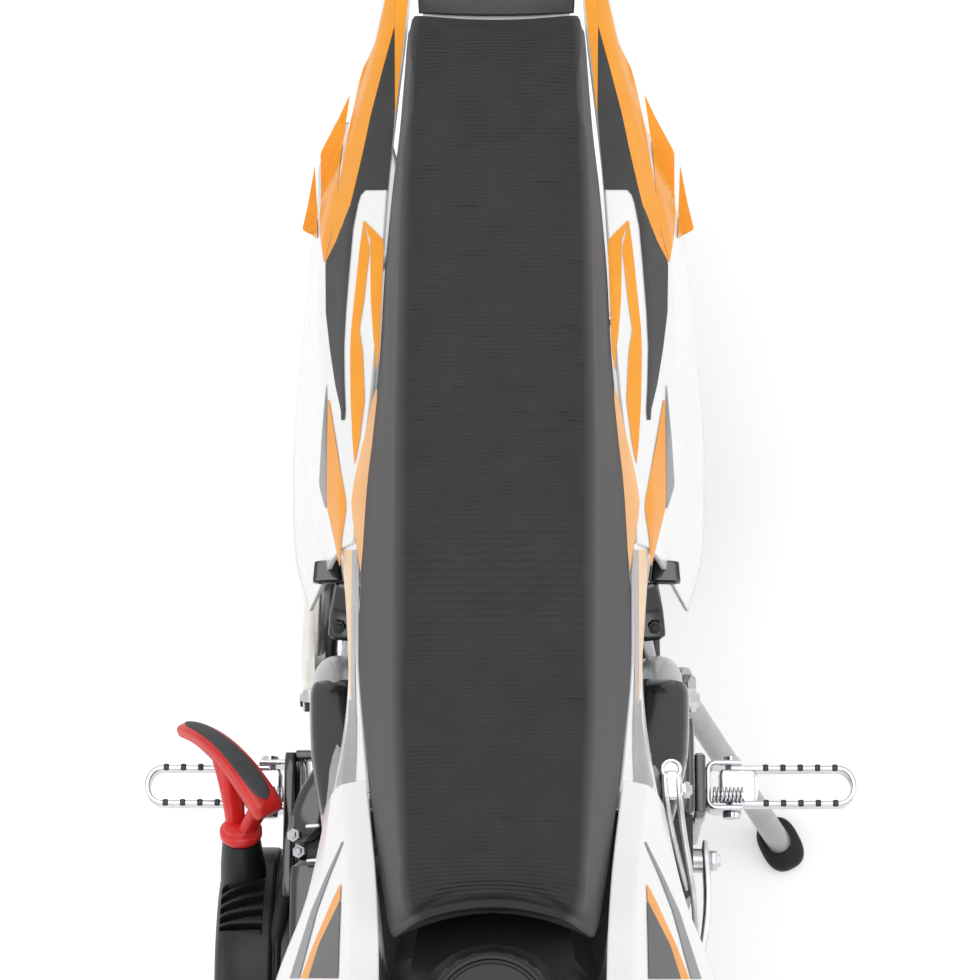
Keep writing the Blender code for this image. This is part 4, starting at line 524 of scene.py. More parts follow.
def finished(name, mesh, material, body, replaces=(), smooth_angle=SMOOTH_BELOW):
    """Turns closed meshes' faces outwards, shades them and hangs the object on its body."""
    shape = bmesh.new()
    shape.from_mesh(mesh)
    closed = all(len(edge.link_faces) == 2 for edge in shape.edges)
    if closed:
        bmesh.ops.recalc_face_normals(shape, faces=shape.faces)
        if shape.calc_volume(signed=True) < 0:
            bmesh.ops.reverse_faces(shape, faces=shape.faces)
    shape.to_mesh(mesh)
    shape.free()
    mesh.shade_smooth()
    mesh.set_sharp_from_angle(angle=math.radians(smooth_angle))
    mesh.materials.clear()
    mesh.materials.append(material)
    piece = bpy.data.objects.new(name, mesh)
    bpy.context.scene.collection.objects.link(piece)
    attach(piece, body)
    if replaces:
        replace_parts(piece, *replaces)
    return piece


def sheet_piece(name, grid, material, replaces=(), wall=0.003, rim=0.0008, flip=False):
    """Bodywork or film: an open grid given a wall on its inner side and a small round on its edges."""
    rows, columns = grid.shape[:2]
    faces = grid_faces(rows, columns)
    if flip:
        faces = faces[:, ::-1]
    piece = new_piece(name, grid.reshape(-1, 3), faces, material, "frame", replaces,
                      180.0)
    if wall:
        thick = piece.modifiers.new("wall", "SOLIDIFY")
        thick.thickness, thick.offset, thick.use_even_offset = wall, -1.0, True
    if rim:
        edge = piece.modifiers.new("rim", "BEVEL")
        edge.width, edge.segments, edge.limit_method = rim, 2, "ANGLE"
        edge.angle_limit = math.radians(50)
    return piece


def curve_through(rows, steps):
    """Extra rows between the given ones, on a Catmull-Rom curve: each span blends its four nearest
    rows."""
    rows = np.asarray(rows, float)
    ends = np.concatenate([2 * rows[:1] - rows[1:2], rows, 2 * rows[-1:] - rows[-2:-1]])
    t = (np.arange(steps) / steps).reshape((1, steps) + (1,) * (rows.ndim - 1))
    p0, p1, p2, p3 = (ends[i:len(ends) - 3 + i][:, None] for i in range(4))
    inner = 0.5 * (2 * p1 + (p2 - p0) * t + (2 * p0 - 5 * p1 + 4 * p2 - p3) * t ** 2
                   + (3 * p1 - p0 - 3 * p2 + p3) * t ** 3)
    return np.concatenate([inner.reshape((-1,) + rows.shape[1:]), rows[-1:]])


WELD = 2e-6                   # points closer than this are one point
FLAT_BELOW = 1.0              # degrees: faces that bend less than this are joined into one


def merged_copy(node, material=None, round_mm=0.0):
    """A CAD node's own shape with its loose triangles welded, so that it can be shaded smooth and
    rounded."""
    source = frame["nodes"][node]
    shape = bmesh.new()
    shape.from_mesh(source.data)
    bmesh.ops.remove_doubles(shape, verts=shape.verts, dist=WELD)
    bmesh.ops.dissolve_limit(shape, angle_limit=math.radians(FLAT_BELOW), verts=shape.verts,
                             edges=shape.edges)
    mesh = bpy.data.meshes.new(node + "_skin")
    shape.to_mesh(mesh)
    shape.free()
    slot = SLOT_OF[node]
    piece = finished(node + "_skin", mesh, material or FINISH[slot], BODY_OF[node], (node,))
    if round_mm:
        edge = piece.modifiers.new("edges", "BEVEL")
        edge.width, edge.segments, edge.limit_method = round_mm / MM, 2, "ANGLE"
        edge.angle_limit = math.radians(SMOOTH_BELOW)
        edge.harden_normals = True
    return piece


print("mesh helpers ready")

# %% [markdown]
# Saddle
# Foam on a plastic base, under one stretched cover. Its section is a flat top with soft edges and
# skirts that spread towards the base. The sections follow a short table along the bike. A cloth
# simulation then swells the cover a little between its pinned hems, as foam does, and the ribs are
# pressed into the swollen shape last, because a simulation would smooth them away.

# %% Saddle sections
# x, half width of the skirt's hem, half width of the flat top, z of the hem, z of the top; in mm
SADDLE = np.array((
    (-514, 53.0, 50.5, 600.0, 620.5),
    (-504, 54.0, 51.5, 598.0, 626.5),
    (-490, 55.0, 52.5, 595.5, 629.0),
    (-453, 58.0, 54.5, 589.5, 626.5),
    (-417, 62.0, 56.5, 585.0, 622.0),
    (-370, 66.0, 58.5, 579.5, 614.5),
    (-320, 68.5, 59.5, 574.5, 607.0),
    (-270, 73.0, 60.0, 569.0, 600.5),
    (-217, 77.0, 59.5, 564.0, 595.0),
    (-138, 79.5, 59.0, 559.0, 589.5),
    (-79, 74.0, 58.0, 558.0, 589.5),
    (-19, 66.5, 55.0, 565.0, 596.5),
    (10, 62.0, 52.0, 572.5, 602.5),
    (22, 60.0, 49.0, 577.0, 604.0),
    (29, 58.0, 45.0, 580.0, 600.5),
)) / MM
SADDLE_ROWS_PER_SPAN = 4
REAR_HOLLOW = 0.004           # how far the rear edge's middle sits ahead of its corners
FRONT_HOLLOW = 0.0155         # and the front edge's middle behind its corners
REAR_FADE, FRONT_FADE = 0.04, 0.06    # how far along the saddle each hollow fades out
# the share of the end section that each closing ring keeps
END_SHARES = np.array([0.992, 0.972, 0.93, 0.62, 0.31, 0.02])
# the way between closing rings, and how many such ways they go at most
END_STEP, END_STEPS = 0.0015, 3.3
# How a half section runs from the middle of the top to the middle of the base: share of the way
# from the top's half width to the hem's, share of the height, and share of the width reached
SADDLE_HALF = np.array((
    (0.00, 1.00, 0.00), (0.00, 1.00, 0.35), (0.00, 0.995, 0.70), (0.00, 0.96, 0.90), (0.06, 0.88, 1.00),
    (0.22, 0.70, 1.00), (0.50, 0.42, 1.00), (0.80, 0.18, 1.00), (0.98, 0.05, 1.00), (1.00, 0.00, 0.97),
    (1.00, 0.00, 0.60), (1.00, 0.00, 0.00),
))


def saddle_rings():
    """Closed rings along the saddle: y is the blended half width times how much of it is reached, and z
    the share of the height. The ends close over six shrinking rings, and both are hollowed by a parabola
    of y."""
    stations = curve_through(SADDLE, SADDLE_ROWS_PER_SPAN)
    out, height, reach = curve_through(SADDLE_HALF, 3).T
    x, hem, top, z_low, z_high = (stations[:, k:k + 1] for k in range(5))
    y = (top + (hem - top) * out) * reach
    z = z_low + (z_high - z_low) * height
    half = np.stack([np.broadcast_to(x, y.shape), y, z], axis=-1)
    ring = np.concatenate([half * MIRROR, half[:, -2:0:-1]], axis=1)
    kept = END_SHARES[:, None, None]
    middle = ring.mean(axis=1, keepdims=True)
    ways = np.minimum(np.arange(1, len(END_SHARES) + 1), END_STEPS)[:, None, None]
    step = np.array([END_STEP, 0, 0]) * ways
    rear = middle[0] + (ring[0] - middle[0]) * kept - step
    front = middle[-1] + (ring[-1] - middle[-1]) * kept + step
    ring = np.concatenate([rear[::-1], ring, front])
    near_rear = np.clip(1 - (ring[..., 0] - SADDLE[0, 0]) / REAR_FADE, 0, 1) ** 2
    ring[..., 0] += REAR_HOLLOW * near_rear * np.clip(1 - (ring[..., 1] / SADDLE[0, 2]) ** 2, 0, 1)
    near_front = np.clip(1 - (SADDLE[-1, 0] - ring[..., 0]) / FRONT_FADE, 0, 1) ** 2
    ring[..., 0] -= FRONT_HOLLOW * near_front * np.clip(1 - (ring[..., 1] / SADDLE[-1, 1]) ** 2, 0, 1)
    across = np.concatenate([reach + out, (reach + out)[-2:0:-1]])
    return ring, across


# %% Foam under the cover
SWELL_PRESSURE = 4.0
SWELL_FRAMES = 16
SWELL_CAP = 0.0025            # no point of the cover moves further than this
HEM = 1.75                    # on the share across, where the base's pinned part begins
PINNED_RINGS = 5              # at each end


def swollen(ring, across):
    """The rings after Cloth has pushed them out: the hem and base are pinned, and each move is cut to
    the cap."""
    rows, columns = ring.shape[:2]
    mesh = bpy.data.meshes.new("cover_on_foam")
    faces = solid_faces(rows, columns)
    faces[-2].reverse()
    mesh.from_pydata(ring.reshape(-1, 3).tolist(), [], faces)
    shape = bmesh.new()
    shape.from_mesh(mesh)
    bmesh.ops.recalc_face_normals(shape, faces=shape.faces)
    shape.to_mesh(mesh)
    shape.free()
    cover = bpy.data.objects.new("cover_on_foam", mesh)
    bpy.context.scene.collection.objects.link(cover)
    pinned = cover.vertex_groups.new(name="hem")
    held = np.tile(across > HEM, (rows, 1))
    held[:PINNED_RINGS], held[-PINNED_RINGS:] = True, True
    pinned.add(np.flatnonzero(held.ravel()).tolist(), 1.0, "REPLACE")
    cloth = cover.modifiers.new("foam", "CLOTH")
    cloth.settings.quality = 6
    cloth.settings.mass = 0.3
    cloth.settings.vertex_group_mass = "hem"
    cloth.settings.use_pressure = True
    cloth.settings.uniform_pressure_force = SWELL_PRESSURE
    cloth.settings.effector_weights.gravity = 0.0
    cloth.point_cache.frame_start, cloth.point_cache.frame_end = 1, SWELL_FRAMES
    for frame_number in range(1, SWELL_FRAMES + 1):
        bpy.context.scene.frame_set(frame_number)
    settled = cover.evaluated_get(bpy.context.evaluated_depsgraph_get()).to_mesh()
    flat = np.empty(3 * rows * columns)
    settled.vertices.foreach_get("co", flat)
    bpy.context.scene.frame_set(1)
    bpy.data.objects.remove(cover)
    move = flat.reshape(ring.shape) - ring
    size = np.linalg.norm(move, axis=-1, keepdims=True)
    print("cover swells by", round(MM * float(size.max()), 1), "mm before the cap")
    return ring + move * np.minimum(1.0, SWELL_CAP / np.maximum(size, 1e-9))


# %% Ribs
RIB_PITCH = 0.00245
RIB_HEIGHT = 0.00034
ROWS_PER_RIB = 4
PATCH_ALONG, PATCH_ACROSS = 0.0045, 0.0055   # size of the patches in which a rib swells or breaks off
PATCHES = (180, 60)           # more than the saddle is long and wide
PHASE_SEED, HEIGHT_SEED = 11, 7
RIB_WANDER = 0.35             # how far a rib strays, as a share of the pitch
RIB_LEAST, RIB_MORE = 0.25, 1.1       # a rib's height in the lowest patch, and what the highest adds
# on the share across: where the ribs end, and the way they fade over
RIBS_END, RIBS_FADE = 1.04, 0.12
END_FADE, PLAIN_END = 0.010, 1.5      # the fade at both ends, and how many such lengths are plain


def patchy(x, y, seed):
    """Smooth noise from 0 to 1: random values on a grid of patches, blended between the four nearest."""
    chance = np.random.default_rng(seed).random(PATCHES)
    i, j = (x - x.min()) / PATCH_ALONG, (y - y.min()) / PATCH_ACROSS
    i0, j0 = np.clip(i.astype(int), 0, PATCHES[0] - 2), np.clip(j.astype(int), 0, PATCHES[1] - 2)
    a, b = i - i0, j - j0
    a, b = a * a * (3 - 2 * a), b * b * (3 - 2 * b)
    low = chance[i0, j0] * (1 - b) + chance[i0, j0 + 1] * b
    return low * (1 - a) + (chance[i0 + 1, j0] * (1 - b) + chance[i0 + 1, j0 + 1] * b) * a


def ribbed(ring, across):
    """Fine rows on the swollen rings, each point moved along the surface normal by a sine of its way
    along the saddle: the sine's phase wanders with one patchy noise and its height with another, and
    fades at the top's edge."""
    steps = round(float(np.ptp(SADDLE[:, 0])) / (len(ring) - 1) / (RIB_PITCH / ROWS_PER_RIB))
    fine = curve_through(ring, steps)
    normal = unit(np.cross(np.gradient(fine, axis=0), np.roll(fine, -1, axis=1)
                           - np.roll(fine, 1, axis=1)))
    normal *= np.sign(normal[:, :1, 2:3] + 1e-12)
    along = np.concatenate([[0.0], np.cumsum(np.linalg.norm(np.diff(fine[:, 0], axis=0), axis=1))])
    on_top = np.clip((RIBS_END - across) / RIBS_FADE, 0, 1)
    x, y = np.broadcast_arrays(along[:, None], fine[..., 1])
    phase = 2 * np.pi * (x / RIB_PITCH + RIB_WANDER * patchy(x, y, PHASE_SEED))
    height = RIB_HEIGHT * (RIB_LEAST + RIB_MORE * patchy(x, y, HEIGHT_SEED)) * on_top[None, :]
    ends = np.clip(np.minimum(along, along[-1] - along) / END_FADE - PLAIN_END, 0, 1)[:, None]
    rise = height * ends * np.sin(phase)
    return fine + normal * rise[..., None], along, rise / RIB_HEIGHT


def saddle():
    """The cover as one closed mesh, with millimetres along it and the share across it in its UV map."""
    rough, across = saddle_rings()
    ring, along, rise = ribbed(swollen(rough, across), across)
    rows, columns = ring.shape[:2]
    piece = new_piece("saddle", ring.reshape(-1, 3), solid_faces(rows, columns), FINISH["seat_vinyl"],
                      BODY_OF["seat"], ("seat",), 60.0)
    mesh = piece.data
    vertex_uv = np.stack(np.broadcast_arrays(MM * along[:, None], across[None, :]), axis=-1)
    corner = np.empty(len(mesh.loops), int)
    mesh.loops.foreach_get("vertex_index", corner)
    layer = mesh.uv_layers.new(name="cover")
    layer.data.foreach_set("uv", vertex_uv.reshape(-1, 2)[corner].astype(np.float32).ravel())
    pressed = mesh.attributes.new("pressed", "FLOAT", "POINT")
    pressed.data.foreach_set("value", rise.astype(np.float32).ravel())
    return piece


seat = saddle()
print("saddle", len(seat.data.vertices), "points")

# %% [markdown]
# Side panels
# Each rear panel is one moulding: a narrow white ledge beside the saddle, an inner face that
# slopes away, a crease, and a steep number plate, which stays blank. Its surface is a table of
# sections, smoothed along the bike. The same surface carries the printed film.

# %% Panel surfaces
# Each station: x, then y and z of the inner edge, shoulder, crease and bottom edge; in mm.
# The narrow strip has no bottom edge, and the shroud has the x of its inner and its bottom edge.
SIDE_PANEL = np.array((
    (-600, 50.5, 618, 56.5, 614, 61.5, 606, 64.5, 596),
    (-530, 53.5, 604, 62.5, 600, 68.5, 592, 73.5, 578),
    (-470, 60.5, 593, 74.5, 585, 85.5, 571, 94, 545),
    (-430, 65, 588, 84.5, 575, 101, 552, 114, 500),
    (-390, 68, 583, 88.5, 568, 108.5, 540, 123, 450),
    (-330, 72, 577, 91, 560, 108.5, 532, 130.5, 415),
    (-290, 75.5, 573, 92, 555, 105.5, 530, 132, 405),
    (-240, 81, 566, 93, 552, 101.5, 530, 130, 398),
    (-205, 85, 563, 93, 549, 98.5, 526, 121, 395),
)) / MM
NARROW_PANEL = np.array((
    (-205, 82.5, 563, 91.5, 549, 93.5, 528),
    (-175, 82.8, 561, 88.0, 549, 89.0, 527),
    (-140, 82.3, 559, 86.5, 547, 87.5, 527),
    (-110, 79.5, 557, 87.0, 545, 89.0, 525),
    (-80, 76.5, 557, 88.5, 545, 93.0, 524),
    (-56, 74.0, 560, 90.0, 544, 97.5, 522),
)) / MM
SHROUD = np.array((
    (-64, -56, 74.8, 558.6, 89.5, 556.0, 95.5, 543, 99.5, 523),
    (-45, -38, 72.4, 563.0, 88.0, 560.5, 98.0, 536, 104.0, 508),
    (-5, -3, 67.6, 575.0, 84.0, 573.5, 101.0, 527, 114.5, 482),
    (35, 37, 64.8, 588.5, 81.0, 587.5, 106.0, 520, 133.0, 450),
    (80, 90, 63.5, 600.0, 80.0, 599.0, 114.0, 520, 147.5, 430),
    (125, 145, 62.0, 606.0, 78.5, 605.0, 120.0, 520, 151.5, 440),
    (152, 190, 61.5, 606.0, 77.0, 604.0, 117.0, 530, 139.5, 480),
)) / MM


def section_grid(table, steps_along, steps_across, slanted=False):
    """Sections on a smooth curve along the bike; across, straight runs with soft corners from evenly
    spread points."""
    stations = curve_through(table, steps_along)
    pairs = stations[:, 2:] if slanted else stations[:, 1:]
    y, z = pairs[:, 0::2], pairs[:, 1::2]
    count = y.shape[1]
    share = np.arange(count) / (count - 1)
    x_in, x_out = stations[:, :1], stations[:, 1:2] if slanted else stations[:, :1]
    x = x_in + (x_out - x_in) * share
    corners = np.stack([x, y, z], axis=-1)
    t = np.linspace(0, count - 1, steps_across)
    low = np.clip(t.astype(int), 0, count - 2)
    part = (t - low)[None, :, None]
    grid = corners[:, low] * (1 - part) + corners[:, low + 1] * part
    for _ in range(2):
        grid[:, 1:-1] = 0.25 * grid[:, :-2] + 0.5 * grid[:, 1:-1] + 0.25 * grid[:, 2:]
    return grid


PANEL_GRID = section_grid(SIDE_PANEL, steps_along=10, steps_across=40)
NARROW_GRID = section_grid(NARROW_PANEL, steps_along=10, steps_across=24)
SHROUD_GRID = section_grid(SHROUD, steps_along=10, steps_across=40, slanted=True)
WHITE = FINISH["white_plastic"]
for side, sign in SIDES:
    flip = side == "left"     # so that the faces point outwards on both sides
    sheet_piece(f"side_panel_{side}_cover", PANEL_GRID * sign, WHITE, (f"side_panel_{side}",), flip=flip)
    sheet_piece(f"side_strip_{side}", NARROW_GRID * sign, WHITE, flip=flip)
    sheet_piece(f"shroud_{side}_cover", SHROUD_GRID * sign, WHITE, (f"shroud_{side}",), flip=flip)
print("panel grids", PANEL_GRID.shape, SHROUD_GRID.shape)

# %% [markdown]
# Printed stripes
# The film follows the panels exactly, so each stripe is laid out where the picture shows its two
# edges, and every point of it is then carried down the camera's line of sight on to the panel's
# surface. Each row is one height in the picture with the stripe's inner and outer edge, in pixels
# of the 980 pixel picture. The left side is the right side's mirror image.

# %% Laying film on a surface
FILM_LIFT = 0.00055           # film and its glue
FILM_ROWS, FILM_COLUMNS = 6, 9        # grid rows for each row of a table, and columns across
SIGHT_ROUNDS = 25             # guesses until a line of sight and the surface agree


def height_on(grid, x, y):
    """z of the surface above each (x, y): the section at that x, read off at that y."""
    columns = grid.shape[1]
    y_at = np.stack([np.interp(x, grid[:, k, 0], grid[:, k, 1]) for k in range(columns)], axis=-1)
    z_at = np.stack([np.interp(x, grid[:, k, 0], grid[:, k, 2]) for k in range(columns)], axis=-1)
    k = np.clip((y_at < y[..., None]).sum(axis=-1) - 1, 0, columns - 2)[..., None]
    y0, y1 = np.take_along_axis(y_at, k, -1)[..., 0], np.take_along_axis(y_at, k + 1, -1)[..., 0]
    z0, z1 = np.take_along_axis(z_at, k, -1)[..., 0], np.take_along_axis(z_at, k + 1, -1)[..., 0]
    return z0 + (z1 - z0) * np.clip((y - y0) / np.maximum(y1 - y0, 1e-6), 0, 1)


def carried_down(grid, u, v):
    """Points where the lines of sight through picture points (u, v) meet the surface: the height is
    guessed, the line followed to it, and the surface read there, again and again until they agree."""
    shift_right, shift_up = (u - PICTURE / 2) / FOCAL_PIXELS, (PICTURE / 2 - v) / FOCAL_PIXELS
    ray = -back + shift_right[..., None] * picture_right + shift_up[..., None] * picture_up
    z = np.full(u.shape, TARGET[2])
    for _ in range(SIGHT_ROUNDS):
        point = EYE + ray * ((z - EYE[2]) / ray[..., 2])[..., None]
        z = height_on(grid, point[..., 0], point[..., 1])
    return EYE + ray * ((z - EYE[2]) / ray[..., 2])[..., None]


def lifted(grid):
    """The grid moved off its surface by the film's thickness, along the cross product of its two
    directions."""
    along = np.gradient(grid, axis=0)
    across = np.gradient(grid, axis=1)
    normal = unit(np.cross(along, across))
    return grid + normal * FILM_LIFT * np.sign(normal[..., 2:3] + 1e-9)


def stripe(name, rows, ink, surface):
    """A film between two edges, on both sides: (v, inner u, outer u) rows, filled in evenly and laid
    down."""
    rows = np.array(rows, float)
    v = np.interp(np.linspace(0, len(rows) - 1, FILM_ROWS * len(rows)), np.arange(len(rows)), rows[:, 0])
    inner, outer = np.interp(v, rows[:, 0], rows[:, 1]), np.interp(v, rows[:, 0], rows[:, 2])
    share = np.linspace(0, 1, FILM_COLUMNS)
    u = inner[:, None] + (outer - inner)[:, None] * share
    laid = lifted(carried_down(surface, u, np.broadcast_to(v[:, None], u.shape)))
    for side, sign in SIDES:
        sheet_piece(f"{name}_{side}", laid * sign, INK[ink], wall=0.0, rim=0.0, flip=side == "left")


print("film lift", round(MM * FILM_LIFT, 2), "mm")

# %% The stripes
PANEL_FILM = {
    "inner_orange": ("orange", ((-110, 578, 584), (0, 584.2, 597.5), (27, 587, 597.8), (60, 591, 597.3),
                                (112, 596.4, 596.9))),
    "upper_orange": ("orange", ((-110, 584, 592), (0, 597.5, 607.7), (27, 598.3, 614),
                                (44.5, 602.8, 618.2), (70.6, 610, 632), (115, 621.5, 641.7),
                                (160, 631, 650), (205, 641.8, 657.3), (240, 656, 661.5),
                                (262, 667.5, 668.5))),
    "outer_orange": ("orange", ((95, 644.3, 645), (120, 648, 657), (151.7, 652, 674.4),
                                (190, 655.3, 674.4), (214, 657.5, 674.4), (235, 661.5, 673.5),
                                (262, 668.5, 668.9))),
    "rear_charcoal": ("charcoal", ((27, 597.8, 598.3), (70, 597.4, 610), (112, 597, 620.8),
                                   (150, 600.3, 629), (190, 603.8, 638.4))),
    "front_charcoal": ("charcoal", ((190, 627, 638.4), (195, 631.5, 639.5), (203, 634, 641.5),
                                    (228, 639, 651.5), (240, 640, 656), (262, 642, 667.5),
                                    (312, 646, 666.8), (348, 647.8, 662.5), (385, 647, 656.5),
                                    (410, 645.8, 650.5), (420, 646.5, 650))),
    "chevron_left": ("orange", ((221, 627, 628), (240, 607.8, 621.5), (300, 609.6, 620.5),
                                (350, 611.5, 616.5), (370, 614.5, 615.5))),
    "chevron_right": ("orange", ((221, 628, 628.6), (249, 622, 632.3), (300, 627.5, 637.5),
                                 (330, 632, 640.5), (352, 628.5, 641.3), (400, 626, 640.5),
                                 (440, 631, 638.3), (464, 635.6, 636))),
    "lower_orange": ("pale_orange", ((389, 614, 615), (400, 614.3, 619), (440, 618.5, 627),
                                     (480, 622, 636), (502, 624.5, 639), (530, 626, 636.5),
                                     (572, 629.5, 629.8))),
    "front_orange": ("orange", ((400, 663, 664.3), (440, 656, 664.8), (500, 645, 665.3),
                                (510, 644.5, 664.3), (540, 649, 657), (566, 650, 650.8))),
    "front_grey": ("grey", ((385, 665.5, 666), (440, 665, 671), (485, 665.5, 673.9), (508, 665.5, 667))),
    "plate_orange": ("orange", ((166, 680, 680.5), (200, 678.7, 687), (229, 677.3, 694),
                                (238, 677, 678))),
}
STRIP_FILM = {
    # the lilac and grey films are painted shade on the strip's outer side, which curves down away from
    # the light
    "strip_lilac": ("lilac_shade", ((550, 633, 637.4), (600, 634, 637.7), (650, 634.2, 637.9),
                              (700, 633.4, 637.4))),
    "strip_peach": ("peach", ((550, 637.6, 646.5), (586, 637.8, 646.2), (625, 638, 643.8),
                              (655, 638, 641.6), (688, 637.8, 640), (704, 637.5, 637.9))),
    "strip_grey": ("grey_shade", ((700, 633.6, 640.4), (722, 632.4, 641.6), (755, 632.4, 646.2),
                                  (786, 633.8, 653.4), (800, 640.5, 641))),
}
SHROUD_FILM = {
    "shroud_grey": ("grey", ((842, 643.8, 645.6), (875, 658.2, 662), (912, 672.5, 679),
                             (979, 690.6, 700.8))),
    "shroud_orange": ("orange", ((885, 646.2, 647), (900, 646.5, 655), (945, 669.5, 675.5),
                                 (979, 680.4, 688.5))),
    "shroud_charcoal": ("charcoal", ((902, 646.5, 647.5), (945, 647.5, 669.5), (979, 648, 680.2))),
}
for table, surface in ((PANEL_FILM, PANEL_GRID), (STRIP_FILM, NARROW_GRID), (SHROUD_FILM, SHROUD_GRID)):
    for name, (ink, rows) in table.items():
        stripe(name, rows, ink, surface)
print("stripes", 2 * (len(PANEL_FILM) + len(STRIP_FILM) + len(SHROUD_FILM)))

# %% [markdown]
# Film behind the saddle
# The rear mudguard carries a charcoal film with a narrow white border. It is a grid over the
# guard's arch: its sides droop with the square of the distance from the middle.

# %% Tail film
# x, half width of the film, z of the guard's middle, droop of its edges; in mm
TAIL = np.array((
    (-527, 47.0, 603.0, 4.0), (-538, 47.4, 606.6, 4.4), (-570, 46.4, 614.0, 7.0),
    (-620, 46.0, 624.0, 11.0), (-655, 40.0, 629.0, 12.0), (-672, 24.0, 629.8, 5.0),
)) / MM
TAIL_LIFT = 0.0018            # of the film over the guard's middle line
TAIL_HOLLOW = 0.0035          # how far the film's front edge is hollow in its middle
TAIL_STEPS, TAIL_COLUMNS = 8, 25


def tail_film():
    """Rows along the guard, columns across it: z is the middle's height less the droop times share
    squared."""
    stations = curve_through(TAIL, TAIL_STEPS)
    share = np.linspace(-1, 1, TAIL_COLUMNS)
    x, half, z, droop = (stations[:, k:k + 1] for k in range(4))
    front = np.clip((x - TAIL[1, 0]) / (TAIL[0, 0] - TAIL[1, 0]), 0, 1)
    grid = np.stack([x + TAIL_HOLLOW * front * (1 - share ** 2), half * share,
                     z - droop * share ** 2 + TAIL_LIFT], axis=-1)
    return sheet_piece("tail_film", grid, INK["charcoal"], wall=0.0006, rim=0.0)


print("tail film", len(tail_film().data.vertices), "points")

# %% [markdown]
# Swept shapes
# Tubes, bars, bands and springs are all one section carried along a path. Two directions square to
# the path are kept from twisting by holding one of them square to a fixed reference.

# %% Sweeping a section
def superellipse(count, power):
    """Points round |x|^power + |y|^power = 1: a circle at power 2, and a rounded square at 4 or more."""
    angle = (np.arange(count) + 0.5) / count * 2 * np.pi
    c, s = np.cos(angle), np.sin(angle)
    return np.stack([np.sign(c) * np.abs(c) ** (2 / power), np.sign(s) * np.abs(s) ** (2 / power)],
                    axis=-1)


def swept(path, wide, thick, reference, count=24, power=2.0):
    """Rings round a path: across is the path's direction crossed with the reference, and up is square to
    both; each ring is the section times its half width across and its half thickness up."""
    path = np.asarray(path, float)
    forward = unit(np.gradient(path, axis=0))
    across = unit(np.cross(forward, np.asarray(reference, float)))
    up = np.cross(across, forward)
    section = superellipse(count, power)
    wide, thick = (np.broadcast_to(size, len(path))[:, None, None] for size in (wide, thick))
    return (path[:, None] + wide * section[None, :, :1] * across[:, None]
            + thick * section[None, :, 1:] * up[:, None])


def lathed(profile, origin, axis, count=48, flats=0):
    """Rings round an axis: each profile row gives how far along it, and the radius. With flats, the
    radius is that of a polygon's side: divided by the cosine of the angle from the side's middle."""
    axis = unit(np.asarray(axis, float))
    side = unit(np.cross(axis, (0.36, 0.48, 0.80)))
    angle = np.arange(count) / count * 2 * np.pi
    ring = np.cos(angle)[:, None] * side + np.sin(angle)[:, None] * np.cross(axis, side)
    if flats:
        part = 2 * np.pi / flats
        ring /= np.cos((angle + part / 2) % part - part / 2)[:, None]
    profile = np.asarray(profile, float)
    return np.asarray(origin) + profile[:, None, :1] * axis + profile[:, None, 1:] * ring


def closed_piece(name, grids, slot, body="frame", replaces=(), smooth_angle=SMOOTH_BELOW, material=None):
    """One mesh from several rows of rings, each closed by a face at both ends, in its slot's finish."""
    faces, first = [], 0
    for grid in grids:
        rows, columns = grid.shape[:2]
        faces += solid_faces(rows, columns, first)
        first += rows * columns
    points = np.concatenate([grid.reshape(-1, 3) for grid in grids])
    return new_piece(name, points, faces, material or FINISH[slot], body, replaces, smooth_angle)


def glossy_piece(name, grids):
    """A guard or cover on the frame, moulded in a polished tool, so that it is glossier than its
    slot."""
    return closed_piece(name, grids, "black_plastic", material=GLOSS_BLACK)


LONGEST_CUT = 0.48            # of a run's length, so that two corners never meet


def rounded_path(points, bend, steps=10):
    """The straight runs between points, with each corner cut off and bridged by a curve that leaves and
    meets the runs along their own lines: the corner's two cuts and the corner blended by (1-t)^2,
    2t(1-t) and t^2."""
    points = np.asarray(points, float)
    before, corner, after = points[:-2], points[1:-1], points[2:]
    lead, trail = corner - before, after - corner
    lead_length, trail_length = np.linalg.norm(lead, axis=1), np.linalg.norm(trail, axis=1)
    turn = np.arccos(np.clip((lead * trail).sum(1) / (lead_length * trail_length), -1, 1))
    longest = LONGEST_CUT * np.minimum(lead_length, trail_length)
    cut = np.minimum(bend * np.tan(turn / 2), longest)[:, None]
    start, end = corner - unit(lead) * cut, corner + unit(trail) * cut
    t = np.linspace(0, 1, steps)[None, :, None]
    bends = start[:, None] * (1 - t) ** 2 + corner[:, None] * 2 * t * (1 - t) + end[:, None] * t ** 2
    path = np.concatenate([points[:1], bends.reshape(-1, 3), points[-1:]])
    keep = np.concatenate([[True], np.linalg.norm(np.diff(path, axis=0), axis=1) > 1e-5])
    return path[keep]


print("sweeping ready")

# %% [markdown]
# Smooth tubes
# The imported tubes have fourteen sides, which shows where light runs along them. A round tube a
# hair wider is laid over each, along the same line, in the same finish.

# %% Tube skins
RAKE = math.radians(24)
FRONT_AXLE = np.array([0.440, 0.0, 0.190])


def fork_point(ahead, y, up):
    """A point given by how far it is ahead of the fork's line, sideways, and up along the line."""
    return FRONT_AXLE + np.array([ahead * math.cos(RAKE) - up * math.sin(RAKE), y,
                                  ahead * math.sin(RAKE) + up * math.cos(RAKE)])


